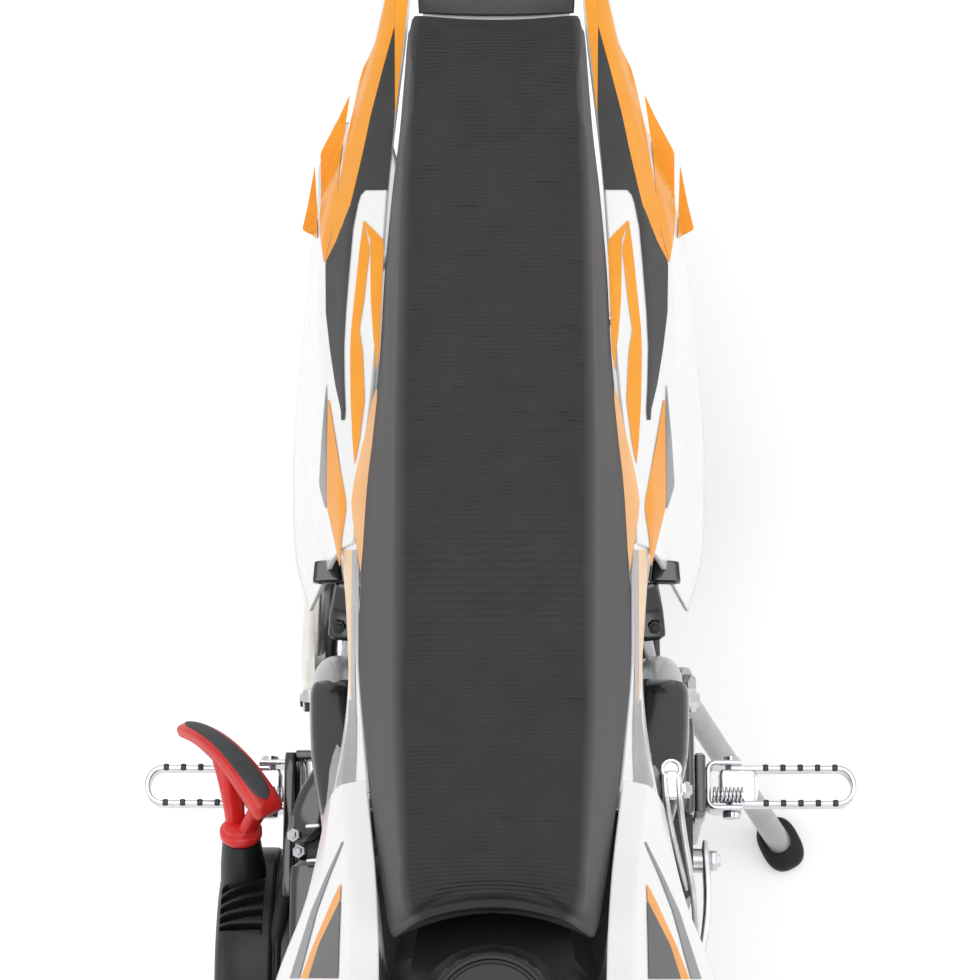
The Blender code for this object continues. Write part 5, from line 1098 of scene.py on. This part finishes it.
BAR_MIDDLE = fork_point(-0.030, 0.0, 0.606)
BAR_HALF = [BAR_MIDDLE + np.array([ahead, y, up]) for y, ahead, up in
            ((0.065, 0.0, 0.0), (0.125, 0.002, 0.069), (0.165, -0.006, 0.081), (0.330, -0.038, 0.075))]
SPAR = (fork_point(-0.0455, 0.0165, 0.4756), (0.150, 0.046, 0.560), (0.040, 0.078, 0.516),
        (-0.080, 0.094, 0.474), (-0.156, 0.101, 0.440), (-0.150, 0.092, 0.340), (-0.130, 0.076, 0.275),
        (-0.122, 0.075, 0.217), (-0.080, 0.072, 0.217), (0.100, 0.066, 0.217), (0.165, 0.050, 0.290),
        (0.205, 0.026, 0.490), fork_point(-0.0454, 0.0165, 0.434))
SEAT_RAIL = ((-0.098, 0.078, 0.489), (-0.130, 0.050, 0.528), (-0.320, 0.044, 0.546),
             (-0.500, 0.036, 0.558))
EXHAUST = ((0.0960, 0.0, 0.3560), (0.118, 0.0, 0.3501), (0.132, -0.020, 0.340), (0.133, -0.080, 0.290),
           (0.120, -0.104, 0.225), (0.060, -0.105, 0.205), (-0.080, -0.105, 0.206),
           (-0.122, -0.108, 0.224), (-0.200, -0.124, 0.243), (-0.250, -0.118, 0.300),
           (-0.276, -0.1065, 0.321))
GRIP_STARTS = 0.34            # the share of the bar's last run that shows before the grip
BAR_SHOWN = [BAR_MIDDLE, *BAR_HALF[:3], BAR_HALF[2] + GRIP_STARTS * (BAR_HALF[3] - BAR_HALF[2])]
FORK_TUBE = [fork_point(0, 0.072, 0.2405), fork_point(0, 0.072, 0.5748)]
FORK_LEG = [fork_point(0, 0.072, 0.030), fork_point(0, 0.072, 0.2395)]
ACROSS_BIKE, ALONG_BIKE = (0.28, 0.0, 0.96), (0.05, 1.0, 0.02)   # references for tubes that run so
TUBE_SIDES = 32
# name, node that it lies over, path, radius, bend, whether it is on both sides
TUBES = (
    ("spar", "main_frame", SPAR, 0.0147, 0.035, True),
    ("seat_rail", "subframe", SEAT_RAIL, 0.0095, 0.030, True),
    ("exhaust_run", "exhaust_pipe", EXHAUST, 0.0121, 0.030, False),
    ("bar_half", "handlebar", BAR_SHOWN, 0.0113, 0.030, True),
    ("fork_tube", "fork_tubes", FORK_TUBE, 0.0197, 0.0, True),
    ("fork_leg", "fork_legs", FORK_LEG, 0.0147, 0.0, True),
)
for name, node, points, radius, bend, on_both in TUBES:
    path = rounded_path(points, bend) if bend else np.linspace(points[0], points[1], 12)
    reference = ACROSS_BIKE if name == "bar_half" else ALONG_BIKE
    for side, sign in SIDES if on_both else (("run", np.ones(3)),):
        tube = swept(path * sign, radius, radius, reference, TUBE_SIDES)
        closed_piece(f"{name}_{side}", [tube], SLOT_OF[node], BODY_OF[node])
print("tube skins", len(TUBES))

# %% [markdown]
# Starter handle
# A bowed band of red nylon with a softer grey insert where the fingers pull, held off a round foot
# by two legs with a gap between them. The band narrows to its far tip.

# %% Handle
HANDLE_BASE = np.array([-0.0695, -0.165, 0.3440])
PULL = unit(np.array([-0.644, 0.0, 0.767]))       # the way the rope pulls out
GRIP_NEAR = np.array([-0.0835, -0.1475, 0.3735])
GRIP_FAR = np.array([-0.1417, -0.2035, 0.3340])
GRIP_BOW = 0.0125             # how far the band's middle stands off the straight line
# half widths and half thicknesses at these shares of the band
BAND_WIDTH = ((0.0, 0.25, 0.6, 1.0), (0.0104, 0.0100, 0.0086, 0.0062))
BAND_THICK = ((0.0, 0.5, 1.0), (0.0072, 0.0062, 0.0045))
INSERT_WIDTH = ((0.0, 0.3, 1.0), (0.0068, 0.0064, 0.0034))
INSERT_LIFT = ((0.0, 0.5, 1.0), (0.0068, 0.0058, 0.0041))     # of the insert's middle over the band's
INSERT_THICK = 0.0014
# along the pull and radius, from the cord's side
HANDLE_FOOT = ((0.0003, 0.0112), (0.0006, 0.0128), (0.0018, 0.0136), (0.0056, 0.0136), (0.0068, 0.0128),
               (0.0072, 0.0114), (0.0094, 0.0110), (0.0102, 0.0100))
SPOUT = ((-0.036, 0.0150), (-0.022, 0.0142), (-0.006, 0.0126), (-0.001, 0.0120), (-0.0003, 0.0108))
# of the legs' feet from the foot's middle, along the band and the pull
LEG_SPREAD, LEG_RISE = 0.0060, 0.008


def grip_line(share):
    """The straight line from near to far end, pushed out along the pull by 4 bow s (1 - s)."""
    share = np.asarray(share, float)[..., None]
    return GRIP_NEAR + (GRIP_FAR - GRIP_NEAR) * share + PULL * 4 * GRIP_BOW * share * (1 - share)


def handle_band():
    """A rounded bar along the grip line. Its size falls on a quarter circle over the last bit of each
    end."""
    s = np.linspace(-0.055, 1.03, 40)
    past_end = np.clip((np.abs(s - 0.4875) - 0.50) / 0.0425, 0, 1)
    end_round = np.sqrt(np.clip(1 - past_end ** 2, 0.02, 1))
    width = np.interp(s, *BAND_WIDTH) * (0.80 + 0.20 * end_round)
    thick = np.interp(s, *BAND_THICK) * (0.55 + 0.45 * end_round)
    return swept(grip_line(s), width, thick, PULL, 32, 3.6)


def handle_legs():
    """A straight leg to the band's near end, and one that leaves along the pull and curves to its
    middle, blended by (1-t)^2, 2t(1-t) and t^2. Both grow towards the band."""
    lean = unit(GRIP_FAR - GRIP_NEAR)
    growing = np.linspace(0, 1, 14)
    t = growing[:, None]
    near_foot = HANDLE_BASE - lean * LEG_SPREAD + PULL * LEG_RISE
    far_foot = HANDLE_BASE + lean * LEG_SPREAD + PULL * LEG_RISE
    near_leg = near_foot * (1 - t) + grip_line([0.03]) * t
    far_leg = (far_foot * (1 - t) ** 2 + (far_foot + PULL * 0.020) * 2 * t * (1 - t)
               + grip_line([0.50]) * t ** 2)
    return [swept(near_leg, 0.0055 + 0.002 * growing, 0.0042, lean, 20, 3.0),
            swept(far_leg, 0.0062 + 0.0018 * growing, 0.0045 + 0.0035 * growing ** 2, lean, 20, 3.0)]


def handle_insert():
    """A flat strip on the band's outer face: its ends are drawn in by an eighth power of the way from
    its middle."""
    s = np.linspace(0.02, 0.97, 34)
    ends = np.sqrt(np.clip(1 - (2 * (s - 0.495) / 0.95) ** 8, 0.04, 1))
    line = grip_line(s)
    forward = unit(np.gradient(line, axis=0))
    outward = np.cross(unit(np.cross(forward, PULL)), forward)
    lift = np.interp(s, *INSERT_LIFT)[:, None]
    return swept(line + outward * lift, np.interp(s, *INSERT_WIDTH) * ends, INSERT_THICK, PULL, 24, 4.0)


HANDLE_BODY = BODY_OF["pull_handle"]
closed_piece("starter_handle_band", [handle_band(), lathed(HANDLE_FOOT, HANDLE_BASE, PULL),
                                     *handle_legs()],
             "red_plastic", HANDLE_BODY, ("pull_handle",), 50.0)
closed_piece("starter_handle_insert", [handle_insert()], "red_plastic", HANDLE_BODY, (), 50.0,
             HANDLE_INSERT)
print("starter handle ready")

# %% [markdown]
# Starter cover
# A moulded drum that carries the pull cord. Cooling slots fan out over the top of its rim, so the
# drum is turned from a profile with many points in the fan's sector, and the slots are pressed in.

# %% Drum with its slots
DRUM_CENTRE = np.array([0.012, 0.0, 0.262])
DRUM_RADIUS = 0.088
# y and radius of the turned profile, in mm, from the engine's side outwards
DRUM_PROFILE = np.array((
    (-138.3, 40.0), (-138.3, 84.5), (-138.8, 86.5), (-140.0, 87.2), (-141.5, 86.8), (-142.2, 85.4),
    (-143.2, 85.2), (-144.0, 87.0), (-145.5, 87.8), (-149.0, 88.0), (-150.5, 88.0), (-152.0, 88.0),
    (-154.0, 88.0), (-156.0, 88.0), (-159.0, 88.0), (-162.0, 87.8), (-165.0, 87.5), (-168.0, 87.0),
    (-171.0, 86.2), (-174.0, 85.0), (-176.0, 83.8), (-178.0, 82.0), (-179.5, 79.5), (-180.6, 76.0),
    (-181.0, 72.0), (-181.2, 66.0), (-181.4, 58.0), (-181.6, 40.0), (-181.8, 12.0),
)) / MM
RIB_AT_RIM = np.radians((128.9, 123.0, 117.1, 112.1, 107.4, 103.8))      # the slots' walls at y -178
RIB_AT_FLANGE = np.radians((138.8, 130.2, 121.9, 114.6, 107.4, 100.8))   # and at y -150
SLOT_Y = (-0.1500, -0.1775)
SLOT_DEPTH = 0.0065
SLOT_WALL = 0.0011            # how wide a slot's wall is from its lip to its floor
RIB_HALF = 0.0013             # half the width of the bar that stays between two slots
# directions round the drum: close together where the slots are, and further apart elsewhere
DRUM_ANGLES = np.radians(np.concatenate([np.arange(0, 98, 4.0), np.arange(98, 142, 0.4),
                                         np.arange(142, 360, 4.0)]))
POINTS_PER_ROW = 3            # of the profile


def drum_grid():
    """Rings round the drum's axis: radius from the profile, less the slot's depth where a point lies
    between two of the fan's lines and between the slots' ends, eased over the wall's width."""
    angle, last = DRUM_ANGLES, len(DRUM_PROFILE) - 1
    row = np.linspace(0, last, POINTS_PER_ROW * last + 1)
    y, radius = (np.interp(row, np.arange(last + 1), column) for column in DRUM_PROFILE.T)
    share = np.clip((y - SLOT_Y[0]) / (SLOT_Y[1] - SLOT_Y[0]), 0, 1)
    lines = RIB_AT_FLANGE + (RIB_AT_RIM - RIB_AT_FLANGE) * share[:, None]
    edge = np.minimum(y - SLOT_Y[1], SLOT_Y[0] - y)[None, :]
    depth = np.zeros((len(angle), len(y)))
    for k in range(len(RIB_AT_RIM) - 1):
        inside = np.minimum(lines[:, k][None, :] - angle[:, None],
                            angle[:, None] - lines[:, k + 1][None, :])
        inside = np.minimum(inside * DRUM_RADIUS - RIB_HALF, edge)
        depth = np.maximum(depth, SLOT_DEPTH * np.clip(inside / SLOT_WALL, 0, 1))
    r = radius[None, :] - depth
    grid = DRUM_CENTRE + np.stack([r * np.cos(angle)[:, None], np.broadcast_to(y, r.shape),
                                   r * np.sin(angle)[:, None]], axis=-1)
    return grid.transpose(1, 0, 2)


STARTER_BODY = BODY_OF["recoil_starter"]
closed_piece("starter_drum", [drum_grid()], "black_plastic", STARTER_BODY, ("recoil_starter",), 32.0)
closed_piece("cord_spout", [lathed(SPOUT, HANDLE_BASE, PULL)], "black_plastic", STARTER_BODY)
print("starter drum", len(DRUM_ANGLES), "points round")

# %% [markdown]
# Guards and covers
# Below the bend of the bare frame tubes, glossy black guards clip over them, and a moulded cover with
# raised lines stands over the sprocket. Each is a rounded bar carried along a short path, with its
# ends drawn in.

# %% Guards
def capped(count, share=0.12, least=0.55):
    """Factors that draw a bar's ends in: one in the middle, falling on a quarter circle towards both
    ends."""
    t = np.linspace(0, 1, count)
    near = np.clip(1 - np.minimum(t, 1 - t) / share, 0, 1)
    return least + (1 - least) * np.sqrt(1 - near ** 2)


def bar(points, wide, thick, reference=(0, 0, 1), power=4.0, steps=8, share=0.10, least=0.6, sides=28):
    """A rounded bar: the path through the points, its section drawn in at both ends."""
    points = np.asarray(points, float)
    straight = points[0] + (points[1] - points[0]) * np.linspace(0, 1, 2 * steps)[:, None]
    line = curve_through(points, steps) if len(points) > 2 else straight
    draw = capped(len(line), share, least)
    ease = np.linspace(0, 1, len(line))
    wide, thick = (np.interp(ease, np.linspace(0, 1, np.size(size)), np.atleast_1d(size))
                   for size in (wide, thick))
    return swept(line, wide * draw, thick * draw, reference, sides, power)


def both(grids):
    """The grids and their mirror images in the bike's middle plane."""
    return list(grids) + [grid * MIRROR for grid in grids]


GUARD_LINE = ((-0.1440, 0.1005, 0.4452), (-0.110, 0.0985, 0.4600), (-0.080, 0.0950, 0.4720),
              (-0.048, 0.0895, 0.4800))
GUARD_RAISED = [np.array(GUARD_LINE) + np.array([0, y, 0.0172 - abs(y) * 0.12])
                for y in (-0.0085, 0.0065)]
glossy_piece("frame_guards", [bar(GUARD_LINE, (0.0180, 0.0190, 0.0150), (0.0165, 0.0170, 0.0150)),
                              *[bar(line, 0.0012, 0.0011, power=2.0, sides=10) for line in GUARD_RAISED],
                              bar(GUARD_LINE * MIRROR, (0.0153, 0.0155, 0.0140),
                                  (0.0153, 0.0155, 0.0150))])
COVER_LINE = ((-0.1535, 0.1085, 0.3205), (-0.0840, 0.1085, 0.3205))
COVER_RAISED = [((-0.150, y, 0.3368), (-0.088, y, 0.3368)) for y in (0.1010, 0.1075, 0.1165)]
glossy_piece("sprocket_cover", [bar(COVER_LINE, 0.0178, 0.0165, power=6.0),
                                *[bar(line, 0.0011, 0.0012, power=2.0, sides=10)
                                  for line in COVER_RAISED]])
# along the cross tube from its middle outwards: distance and radius
CROSS_TUBE = ((0.050, 0.0075), (0.050, 0.0084), (0.098, 0.0084), (0.0985, 0.0078), (0.0995, 0.0078),
              (0.100, 0.0087), (0.1195, 0.0087), (0.1207, 0.0080), (0.1209, 0.0060))
CROSS_X, CROSS_Z = -0.1622, 0.330
glossy_piece("cross_tube", both([lathed(CROSS_TUBE, (CROSS_X, 0.0, CROSS_Z), (0, 1, 0), 32)]))
# along a nut's axis from its seat, and half its width across flats
NUT = ((0.0, 0.0058), (0.0005, 0.0062), (0.0050, 0.0062), (0.0060, 0.0056), (0.0061, 0.0038),
       (0.0075, 0.0036), (0.0080, 0.0030))


def nuts(places, axis, size=1.0):
    """Six-sided heads with a washer face and a short stud end, all along one axis."""
    return [lathed(np.array(NUT) * size, place, axis, 36, 6) for place in places]


CROSS_END = CROSS_TUBE[-1][0]
closed_piece("cross_tube_nuts", [nut for way in (1, -1) for nut in
                                 nuts([(CROSS_X, way * CROSS_END, CROSS_Z)], (0, way, 0), 1.15)],
             "chrome")
REAR_MOUNT = ((-0.2115, 0.1030, 0.4960), (-0.1975, 0.1025, 0.4965))
STRUT = ((-0.1990, 0.0905, 0.4930), (-0.1830, 0.0930, 0.4850), (-0.1680, 0.0950, 0.4740))
glossy_piece("panel_mounts", both([bar(REAR_MOUNT, (0.0080, 0.0095), 0.0040, power=6.0),
                                   bar(STRUT, (0.0075, 0.0085, 0.0085), 0.0038, power=5.0)]))
BOLT_PLACES = [(-0.1735, way * 0.0965, 0.4822) for way in (1, -1)]
closed_piece("panel_bolts", nuts(BOLT_PLACES, (0.30, 0, 0.95), 0.62), "engine_black")
PEG_X, PEG_Z = -0.1135, 0.285
PLATE_OUT = 0.1345            # y of the peg plate's outer face
PLATE_CAP = ((PEG_X - 0.0215, 0.1308, 0.281), (PEG_X + 0.0215, 0.1308, 0.281))
glossy_piece("peg_plate_caps", both([bar(PLATE_CAP, 0.0042, 0.0195, power=7.0, share=0.05)]))
print("guards ready")

# %% [markdown]
# Gear lever
# A cast alloy lever: an eye on its shaft at the rear, two arms with a slot between, and a straight
# outer rail. It has no joint of its own, so it stays on the frame.

# %% Lever
LEVER_Z = 0.3000
LEVER_EYE = np.array([-0.0822, 0.1050, 0.4965])
EYE_PROFILE = ((-0.0100, 0.0030), (-0.0100, 0.0040), (-0.0030, 0.0040), (-0.0030, 0.0052),
               (-0.0028, 0.0060), (-0.0012, 0.0066), (0.0012, 0.0066), (0.0026, 0.0060),
               (0.0028, 0.0046), (0.0018, 0.0040), (0.0018, 0.0020))
LEVER_INNER = ((-0.0822, 0.1010, 0.4965), (-0.0640, 0.1020, 0.4955), (-0.0450, 0.1060, 0.4840),
               (-0.0158, 0.1148, 0.4615))
LEVER_OUTER = ((-0.0822, 0.1092, 0.4965), (-0.0640, 0.1100, 0.4955), (-0.0450, 0.1128, 0.4840),
               (-0.0158, 0.1186, 0.4615), (0.0080, 0.1215, 0.4400))
LEVER_WEB = ((-0.0822, 0.1052, 0.4965), (-0.0720, 0.1058, 0.4962), (-0.0640, 0.1062, 0.4955))
RAIL = ((-0.0745, 0.1335, LEVER_Z), (-0.0200, 0.1335, LEVER_Z), (0.0700, 0.1155, LEVER_Z),
        (0.0880, 0.1105, LEVER_Z))
closed_piece("gear_lever_rail", [bar(RAIL, 0.0024, 0.0095, power=5.0, share=0.03),
                                 *nuts([(-0.062, 0.1360, LEVER_Z)], (0, 1, 0), 0.95),
                                 lathed(((0.0, 0.0078), (0.0105, 0.0078)), (-0.062, 0.1253, LEVER_Z),
                                        (0, 1, 0), 24),
                                 lathed(((0.0, 0.0050), (0.001, 0.0060), (0.029, 0.0060),
                                         (0.030, 0.0050)),
                                        (0.086, 0.1120, LEVER_Z), (0, 1, 0), 24)],
             "alloy", "frame", ("foot_lever",), 40.0)
closed_piece("gear_lever_arms", [lathed(EYE_PROFILE, LEVER_EYE, (0, 0, 1), 40),
                                 bar(LEVER_WEB, 0.0050, 0.0024, power=3.0),
                                 bar(LEVER_INNER, 0.0019, 0.0024, power=3.0),
                                 bar(LEVER_OUTER, 0.0019, 0.0024, power=3.0)],
             "alloy", "frame", (), 40.0)
closed_piece("gear_lever_bolt", nuts([(-0.0700, 0.1118, 0.4960)], (0, 1, 0), 0.72)
             + [bar(((-0.0740, 0.1128, 0.4960), (-0.0660, 0.1128, 0.4960)), 0.0030, 0.0024, power=5.0)],
             "chrome")
print("gear lever ready")

# %% [markdown]
# Foot pegs
# Each peg is an open toothed loop of zinc-plated steel on a pin through a U-shaped bracket, with
# a coil spring that holds it down. The loop is a flat bar bent round, and the teeth are let into it.
# The teeth are black as painted shade, for the shadow between a peg's teeth.

# %% Pegs
PEG_TIP = 0.2345              # y of the loop's end
LOOP_ROUND = 0.0118           # half the loop's width
BAR_HALF_WALL = 0.0018        # half the thickness of the bar that the loop and bracket are bent from
ARC_POINTS = 18
COIL_TURNS, COIL_RADIUS, COIL_LENGTH, POINTS_PER_TURN = 8, 0.0046, 0.0205, 14
TEETH = 5                     # along each side of the loop
# along the pin and radius: a head at each end
PIN_PROFILE = ((-0.0205, 0.0030), (-0.0205, 0.0058), (-0.0170, 0.0062), (-0.0168, 0.0040),
               (0.0168, 0.0040), (0.0170, 0.0062), (0.0200, 0.0058), (0.0205, 0.0030))


def peg_bracket():
    """A U of flat bar round the pin, open outwards."""
    z, inner, outer = PEG_Z - 0.002, PLATE_OUT + 0.0020, PLATE_OUT + 0.0240
    corners = [(PEG_X - 0.0150, outer, z), (PEG_X - 0.0150, inner, z),
               (PEG_X + 0.0150, inner, z), (PEG_X + 0.0150, outer, z)]
    return swept(rounded_path(np.array(corners), 0.006), BAR_HALF_WALL, 0.0120, (0, 0, 1), 20, 6.0)


def peg_loop():
    """A flat bar out along one side, round the tip on a half circle, and back along the other."""
    root = PLATE_OUT + 0.0300
    bend = np.linspace(-np.pi / 2, np.pi / 2, ARC_POINTS)
    arc = np.stack([PEG_X + LOOP_ROUND * np.sin(bend),
                    PEG_TIP - 0.0002 - LOOP_ROUND + (LOOP_ROUND - BAR_HALF_WALL) * np.cos(bend),
                    np.full(ARC_POINTS, PEG_Z)], axis=-1)
    rear, ahead = PEG_X - LOOP_ROUND, PEG_X + LOOP_ROUND
    path = np.concatenate([[(rear, root - 0.012, PEG_Z), (rear, root + 0.02, PEG_Z)], arc,
                           [(ahead, root + 0.02, PEG_Z), (ahead, root - 0.012, PEG_Z)]])
    return swept(path, BAR_HALF_WALL, 0.0070, (0, 0, 1), 20, 6.0)


def peg_spring():
    """A helix along y: x and z are the cosine and sine of the turns times the coil's radius."""
    turns = np.linspace(0, COIL_TURNS, COIL_TURNS * POINTS_PER_TURN)
    path = np.stack([PEG_X + 0.0068 + COIL_RADIUS * np.cos(2 * np.pi * turns),
                     PLATE_OUT + 0.0050 + COIL_LENGTH * turns / COIL_TURNS,
                     PEG_Z + 0.0088 + COIL_RADIUS * np.sin(2 * np.pi * turns)], axis=-1)
    return swept(path, 0.00095, 0.00095, (0, 1, 0), 8)


def peg_teeth():
    """Short bars let into the loop's top edge, in a row along each side."""
    z = PEG_Z + 0.0066
    return [bar(((x - 0.0022, y, z), (x + 0.0022, y, z)), 0.0019, 0.0010, power=4.0, steps=4)
            for x in (PEG_X + edge * LOOP_ROUND for edge in (-1, 1))
            for y in np.linspace(PLATE_OUT + 0.0400, PLATE_OUT + 0.0855, TEETH)]


PEG_ROOT = ((PEG_X, PLATE_OUT + 0.0090, PEG_Z + 0.0025), (PEG_X, PLATE_OUT + 0.0350, PEG_Z + 0.0025))
PIN_PLACE = np.array([PEG_X, PLATE_OUT + 0.0180, PEG_Z - 0.004])
peg = [peg_bracket(), peg_loop(), bar(PEG_ROOT, 0.0112, 0.0030, power=7.0),
       lathed(PIN_PROFILE, PIN_PLACE, (1, 0, 0), 24), peg_spring()]
for side, sign in SIDES:
    closed_piece(f"foot_peg_{side}_zinc", [part * sign for part in peg], "chrome", "frame",
                 (f"foot_peg_{side}",), 45.0)
teeth = both(peg_teeth())
# the teeth are painted black: painted shade for the dark gaps between the teeth
closed_piece("foot_peg_teeth_painted_shade", teeth, "engine_black")
print("pegs", len(SIDES), "teeth", len(teeth))

# %% [markdown]
# Covers of the right side
# Between the starter's flange and the shroud there are moulded covers, a cast block, bolts and
# a rigid breather pipe. They are only partly seen, so they are plain rounded bars with their own bolts.

# %% Right-hand covers
# each cover: its path, half widths along it, half thickness
DARK_COVERS = (
    bar(((-0.1325, -0.1040, 0.3560), (-0.1180, -0.1075, 0.3560)), (0.0110, 0.0135), 0.0120, power=3.0,
        least=0.4),
    bar(((-0.1060, -0.1075, 0.3900), (-0.0880, -0.1120, 0.3920), (-0.0690, -0.1190, 0.3900),
         (-0.0590, -0.1270, 0.3860)),
        (0.0065, 0.0120, 0.0130, 0.0050), 0.0100, power=3.5),
    bar(((-0.1240, -0.1345, 0.3270), (-0.0300, -0.1345, 0.3290)), 0.0040, 0.0190, power=7.0, share=0.03,
        least=0.9),
    bar(((-0.1200, -0.1275, 0.3270), (-0.0320, -0.1275, 0.3290)), 0.0014, 0.0160, power=4.0, share=0.03,
        least=0.9),
    bar(((-0.1235, -0.1320, 0.3370), (-0.1235, -0.1120, 0.3370)), 0.0030, 0.0060, power=5.0),
    bar(((-0.0480, -0.1180, 0.3700), (0.0200, -0.1180, 0.3750)), 0.0130, 0.0100, power=5.0),
)
glossy_piece("right_covers", DARK_COVERS)
BLOCK = ((-0.1130, -0.1005, 0.3950), (-0.0880, -0.1000, 0.3970))
CLIPS = (((-0.0660, -0.1110, 0.4010), (-0.0655, -0.1200, 0.4000)),
         ((-0.0470, -0.1110, 0.3860), (-0.0465, -0.1200, 0.3850)))
closed_piece("cast_block", [bar(BLOCK, 0.0062, 0.0060, power=7.0),
                            *[bar(clip, 0.0012, 0.0012) for clip in CLIPS]], "alloy")
closed_piece("cover_bolts", nuts([(-0.0600, -0.1265, 0.3970), (-0.0525, -0.1240, 0.3810)],
                                 (0, -0.35, 0.94), 0.66),
             "chrome")
BREATHER = ((-0.046, -0.1350, 0.338), (-0.015, -0.1395, 0.346), (0.010, -0.1440, 0.342))
BREATHER_RADIUS = 0.0042
closed_piece("breather_pipe", [swept(rounded_path(BREATHER, 0.02), BREATHER_RADIUS, BREATHER_RADIUS,
                                     (0, 1, 0), 20)],
             "grip_rubber")
print("right-hand covers", len(DARK_COVERS))

# %% [markdown]
# Side stand
# A round tube on a pivot eye, with a rubber foot. The foot is moulded with rounded sides, and it
# stays on the frame's floor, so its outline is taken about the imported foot's own middle.

# %% Stand
STAND_PIVOT = np.array([-0.195, 0.118, 0.232])


def node_points(node):
    """The points of a CAD node, in the frame."""
    flat = np.empty(3 * len(frame["nodes"][node].data.vertices))
    frame["nodes"][node].data.vertices.foreach_get("co", flat)
    return flat.reshape(-1, 3)


pad = node_points("stand_pad")
pad_low, pad_high = pad.min(axis=0), pad.max(axis=0)
pad_middle = (pad_low + pad_high) / 2
spread = (pad[:, :2] - pad_middle[:2]).T @ (pad[:, :2] - pad_middle[:2])
long_way = np.append(np.linalg.eigh(spread)[1][:, 1], 0.0)
across = np.array([-long_way[1], long_way[0], 0.0])
PAD_LONG, PAD_WIDE = 0.0198, 0.0148   # half sizes
# share of the height, and of the outline
PAD_SECTIONS = ((0.0, 0.90), (0.08, 0.97), (0.25, 1.0), (0.55, 0.995), (0.80, 0.95), (0.93, 0.86),
                (1.0, 0.72))
pad_rings = []
for height, scale in PAD_SECTIONS:
    outline = superellipse(64, 2.6) * np.array([PAD_LONG, PAD_WIDE]) * scale
    ring = pad_middle * np.array([1, 1, 0]) + outline[:, :1] * long_way + outline[:, 1:] * across
    ring[:, 2] = pad_low[2] + (pad_high[2] - pad_low[2]) * height
    pad_rings.append(in_bike(ring))
closed_piece("stand_foot", [np.array(pad_rings)], "grip_rubber", BODY_OF["stand_pad"], ("stand_pad",),
             60.0)
foot_top = in_bike(pad_middle + np.array([0, 0, (pad_high[2] - pad_low[2]) / 2]))
run = unit(foot_top - STAND_PIVOT)
STAND_RADIUS = 0.0083
stand_line = np.linspace(STAND_PIVOT + run * 0.010, foot_top + run * 0.001, 14)
closed_piece("stand_tube", [swept(stand_line, STAND_RADIUS, STAND_RADIUS, (1, 0, 0), TUBE_SIDES)],
             SLOT_OF["stand_leg"], BODY_OF["stand_leg"])
print("stand ready")

# %% [markdown]
# Fuel cap
# A moulded cap with a raised rim, a stepped ring and a ribbed grip. It is turned from a profile,
# and the grip's radius is pushed in and out by a cosine of the angle.

# %% Cap
cap = in_bike(node_points("fuel_cap"))
cap_low, cap_high = cap.min(axis=0), cap.max(axis=0)
cap_middle = (cap_low + cap_high) / 2
cap_radius, cap_height = (cap_high[0] - cap_low[0]) / 2, cap_high[2] - cap_low[2]
# share of the height, share of the radius, and how strongly the ribs show there
CAP_PROFILE = np.array((
    (0.00, 0.93, 0.0), (0.02, 0.985, 0.2), (0.10, 1.0, 1.0), (0.70, 1.0, 1.0), (0.84, 0.985, 0.4),
    (0.93, 0.95, 0.0), (0.985, 0.91, 0.0), (1.0, 0.88, 0.0), (0.99, 0.85, 0.0), (0.94, 0.83, 0.0),
    (0.93, 0.79, 0.0), (0.97, 0.77, 0.0), (0.98, 0.60, 0.0), (0.99, 0.30, 0.0), (0.99, 0.05, 0.0),
))
CAP_POINTS, CAP_RIBS = 240, 24
GROOVE_DEPTH = 0.035          # of the radius
# how steeply a groove's walls fall: the cosine's factor before it is cut to 0 to 1
GROOVE_STEEP = 1.6
angle = np.arange(CAP_POINTS) / CAP_POINTS * 2 * np.pi
groove = np.clip(0.5 - GROOVE_STEEP * np.cos(CAP_RIBS * angle), 0, 1)
cap_ring_radius = cap_radius * (CAP_PROFILE[:, 1:2] - GROOVE_DEPTH * CAP_PROFILE[:, 2:] * groove)
cap_grid = np.stack([cap_middle[0] + cap_ring_radius * np.cos(angle),
                     cap_middle[1] + cap_ring_radius * np.sin(angle),
                     np.broadcast_to(cap_low[2] + cap_height * CAP_PROFILE[:, :1],
                                     cap_ring_radius.shape)], axis=-1)
closed_piece("ribbed_fuel_cap", [cap_grid], "black_plastic", BODY_OF["fuel_cap"], ("fuel_cap",), 40.0)
print("cap radius", round(MM * cap_radius, 1), "mm")

# %% [markdown]
# The kept nodes
# Every other node keeps its own shape. A CAD mesh comes as loose triangles, so a welded copy
# stands in for it: it can be shaded smooth over its round faces and still keep its real edges.

# %% Finishing the kept nodes
REPLACED = {name for piece in bpy.context.scene.objects for name in piece.get("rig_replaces", [])}
# cast, forged and moulded pieces have rounded edges: their radius in mm
EDGE_ROUND = {
    "fork_legs": 1.0, "engine_cases": 1.2, "front_number_plate": 1.0, "fuel_tank": 2.0,
    "front_caliper": 0.8, "rear_caliper": 0.8, "carburettor": 0.8, "swingarm": 1.0,
    "brake_lever_left": 0.6, "brake_lever_right": 0.6, "front_fender": 0.8, "rear_fender": 0.8,
    "cylinder": 0.3, "bar_pad": 1.5, "grip_left": 0.5, "grip_right": 0.5, "front_tyre": 0.5,
    "rear_tyre": 0.5,
}
for name in sorted(set(frame["nodes"]) - REPLACED):
    merged_copy(name, SILENCER_SKIN if name == "silencer" else None, round_mm=EDGE_ROUND.get(name, 0.0))
print("kept nodes", len(frame["nodes"]) - len(REPLACED))
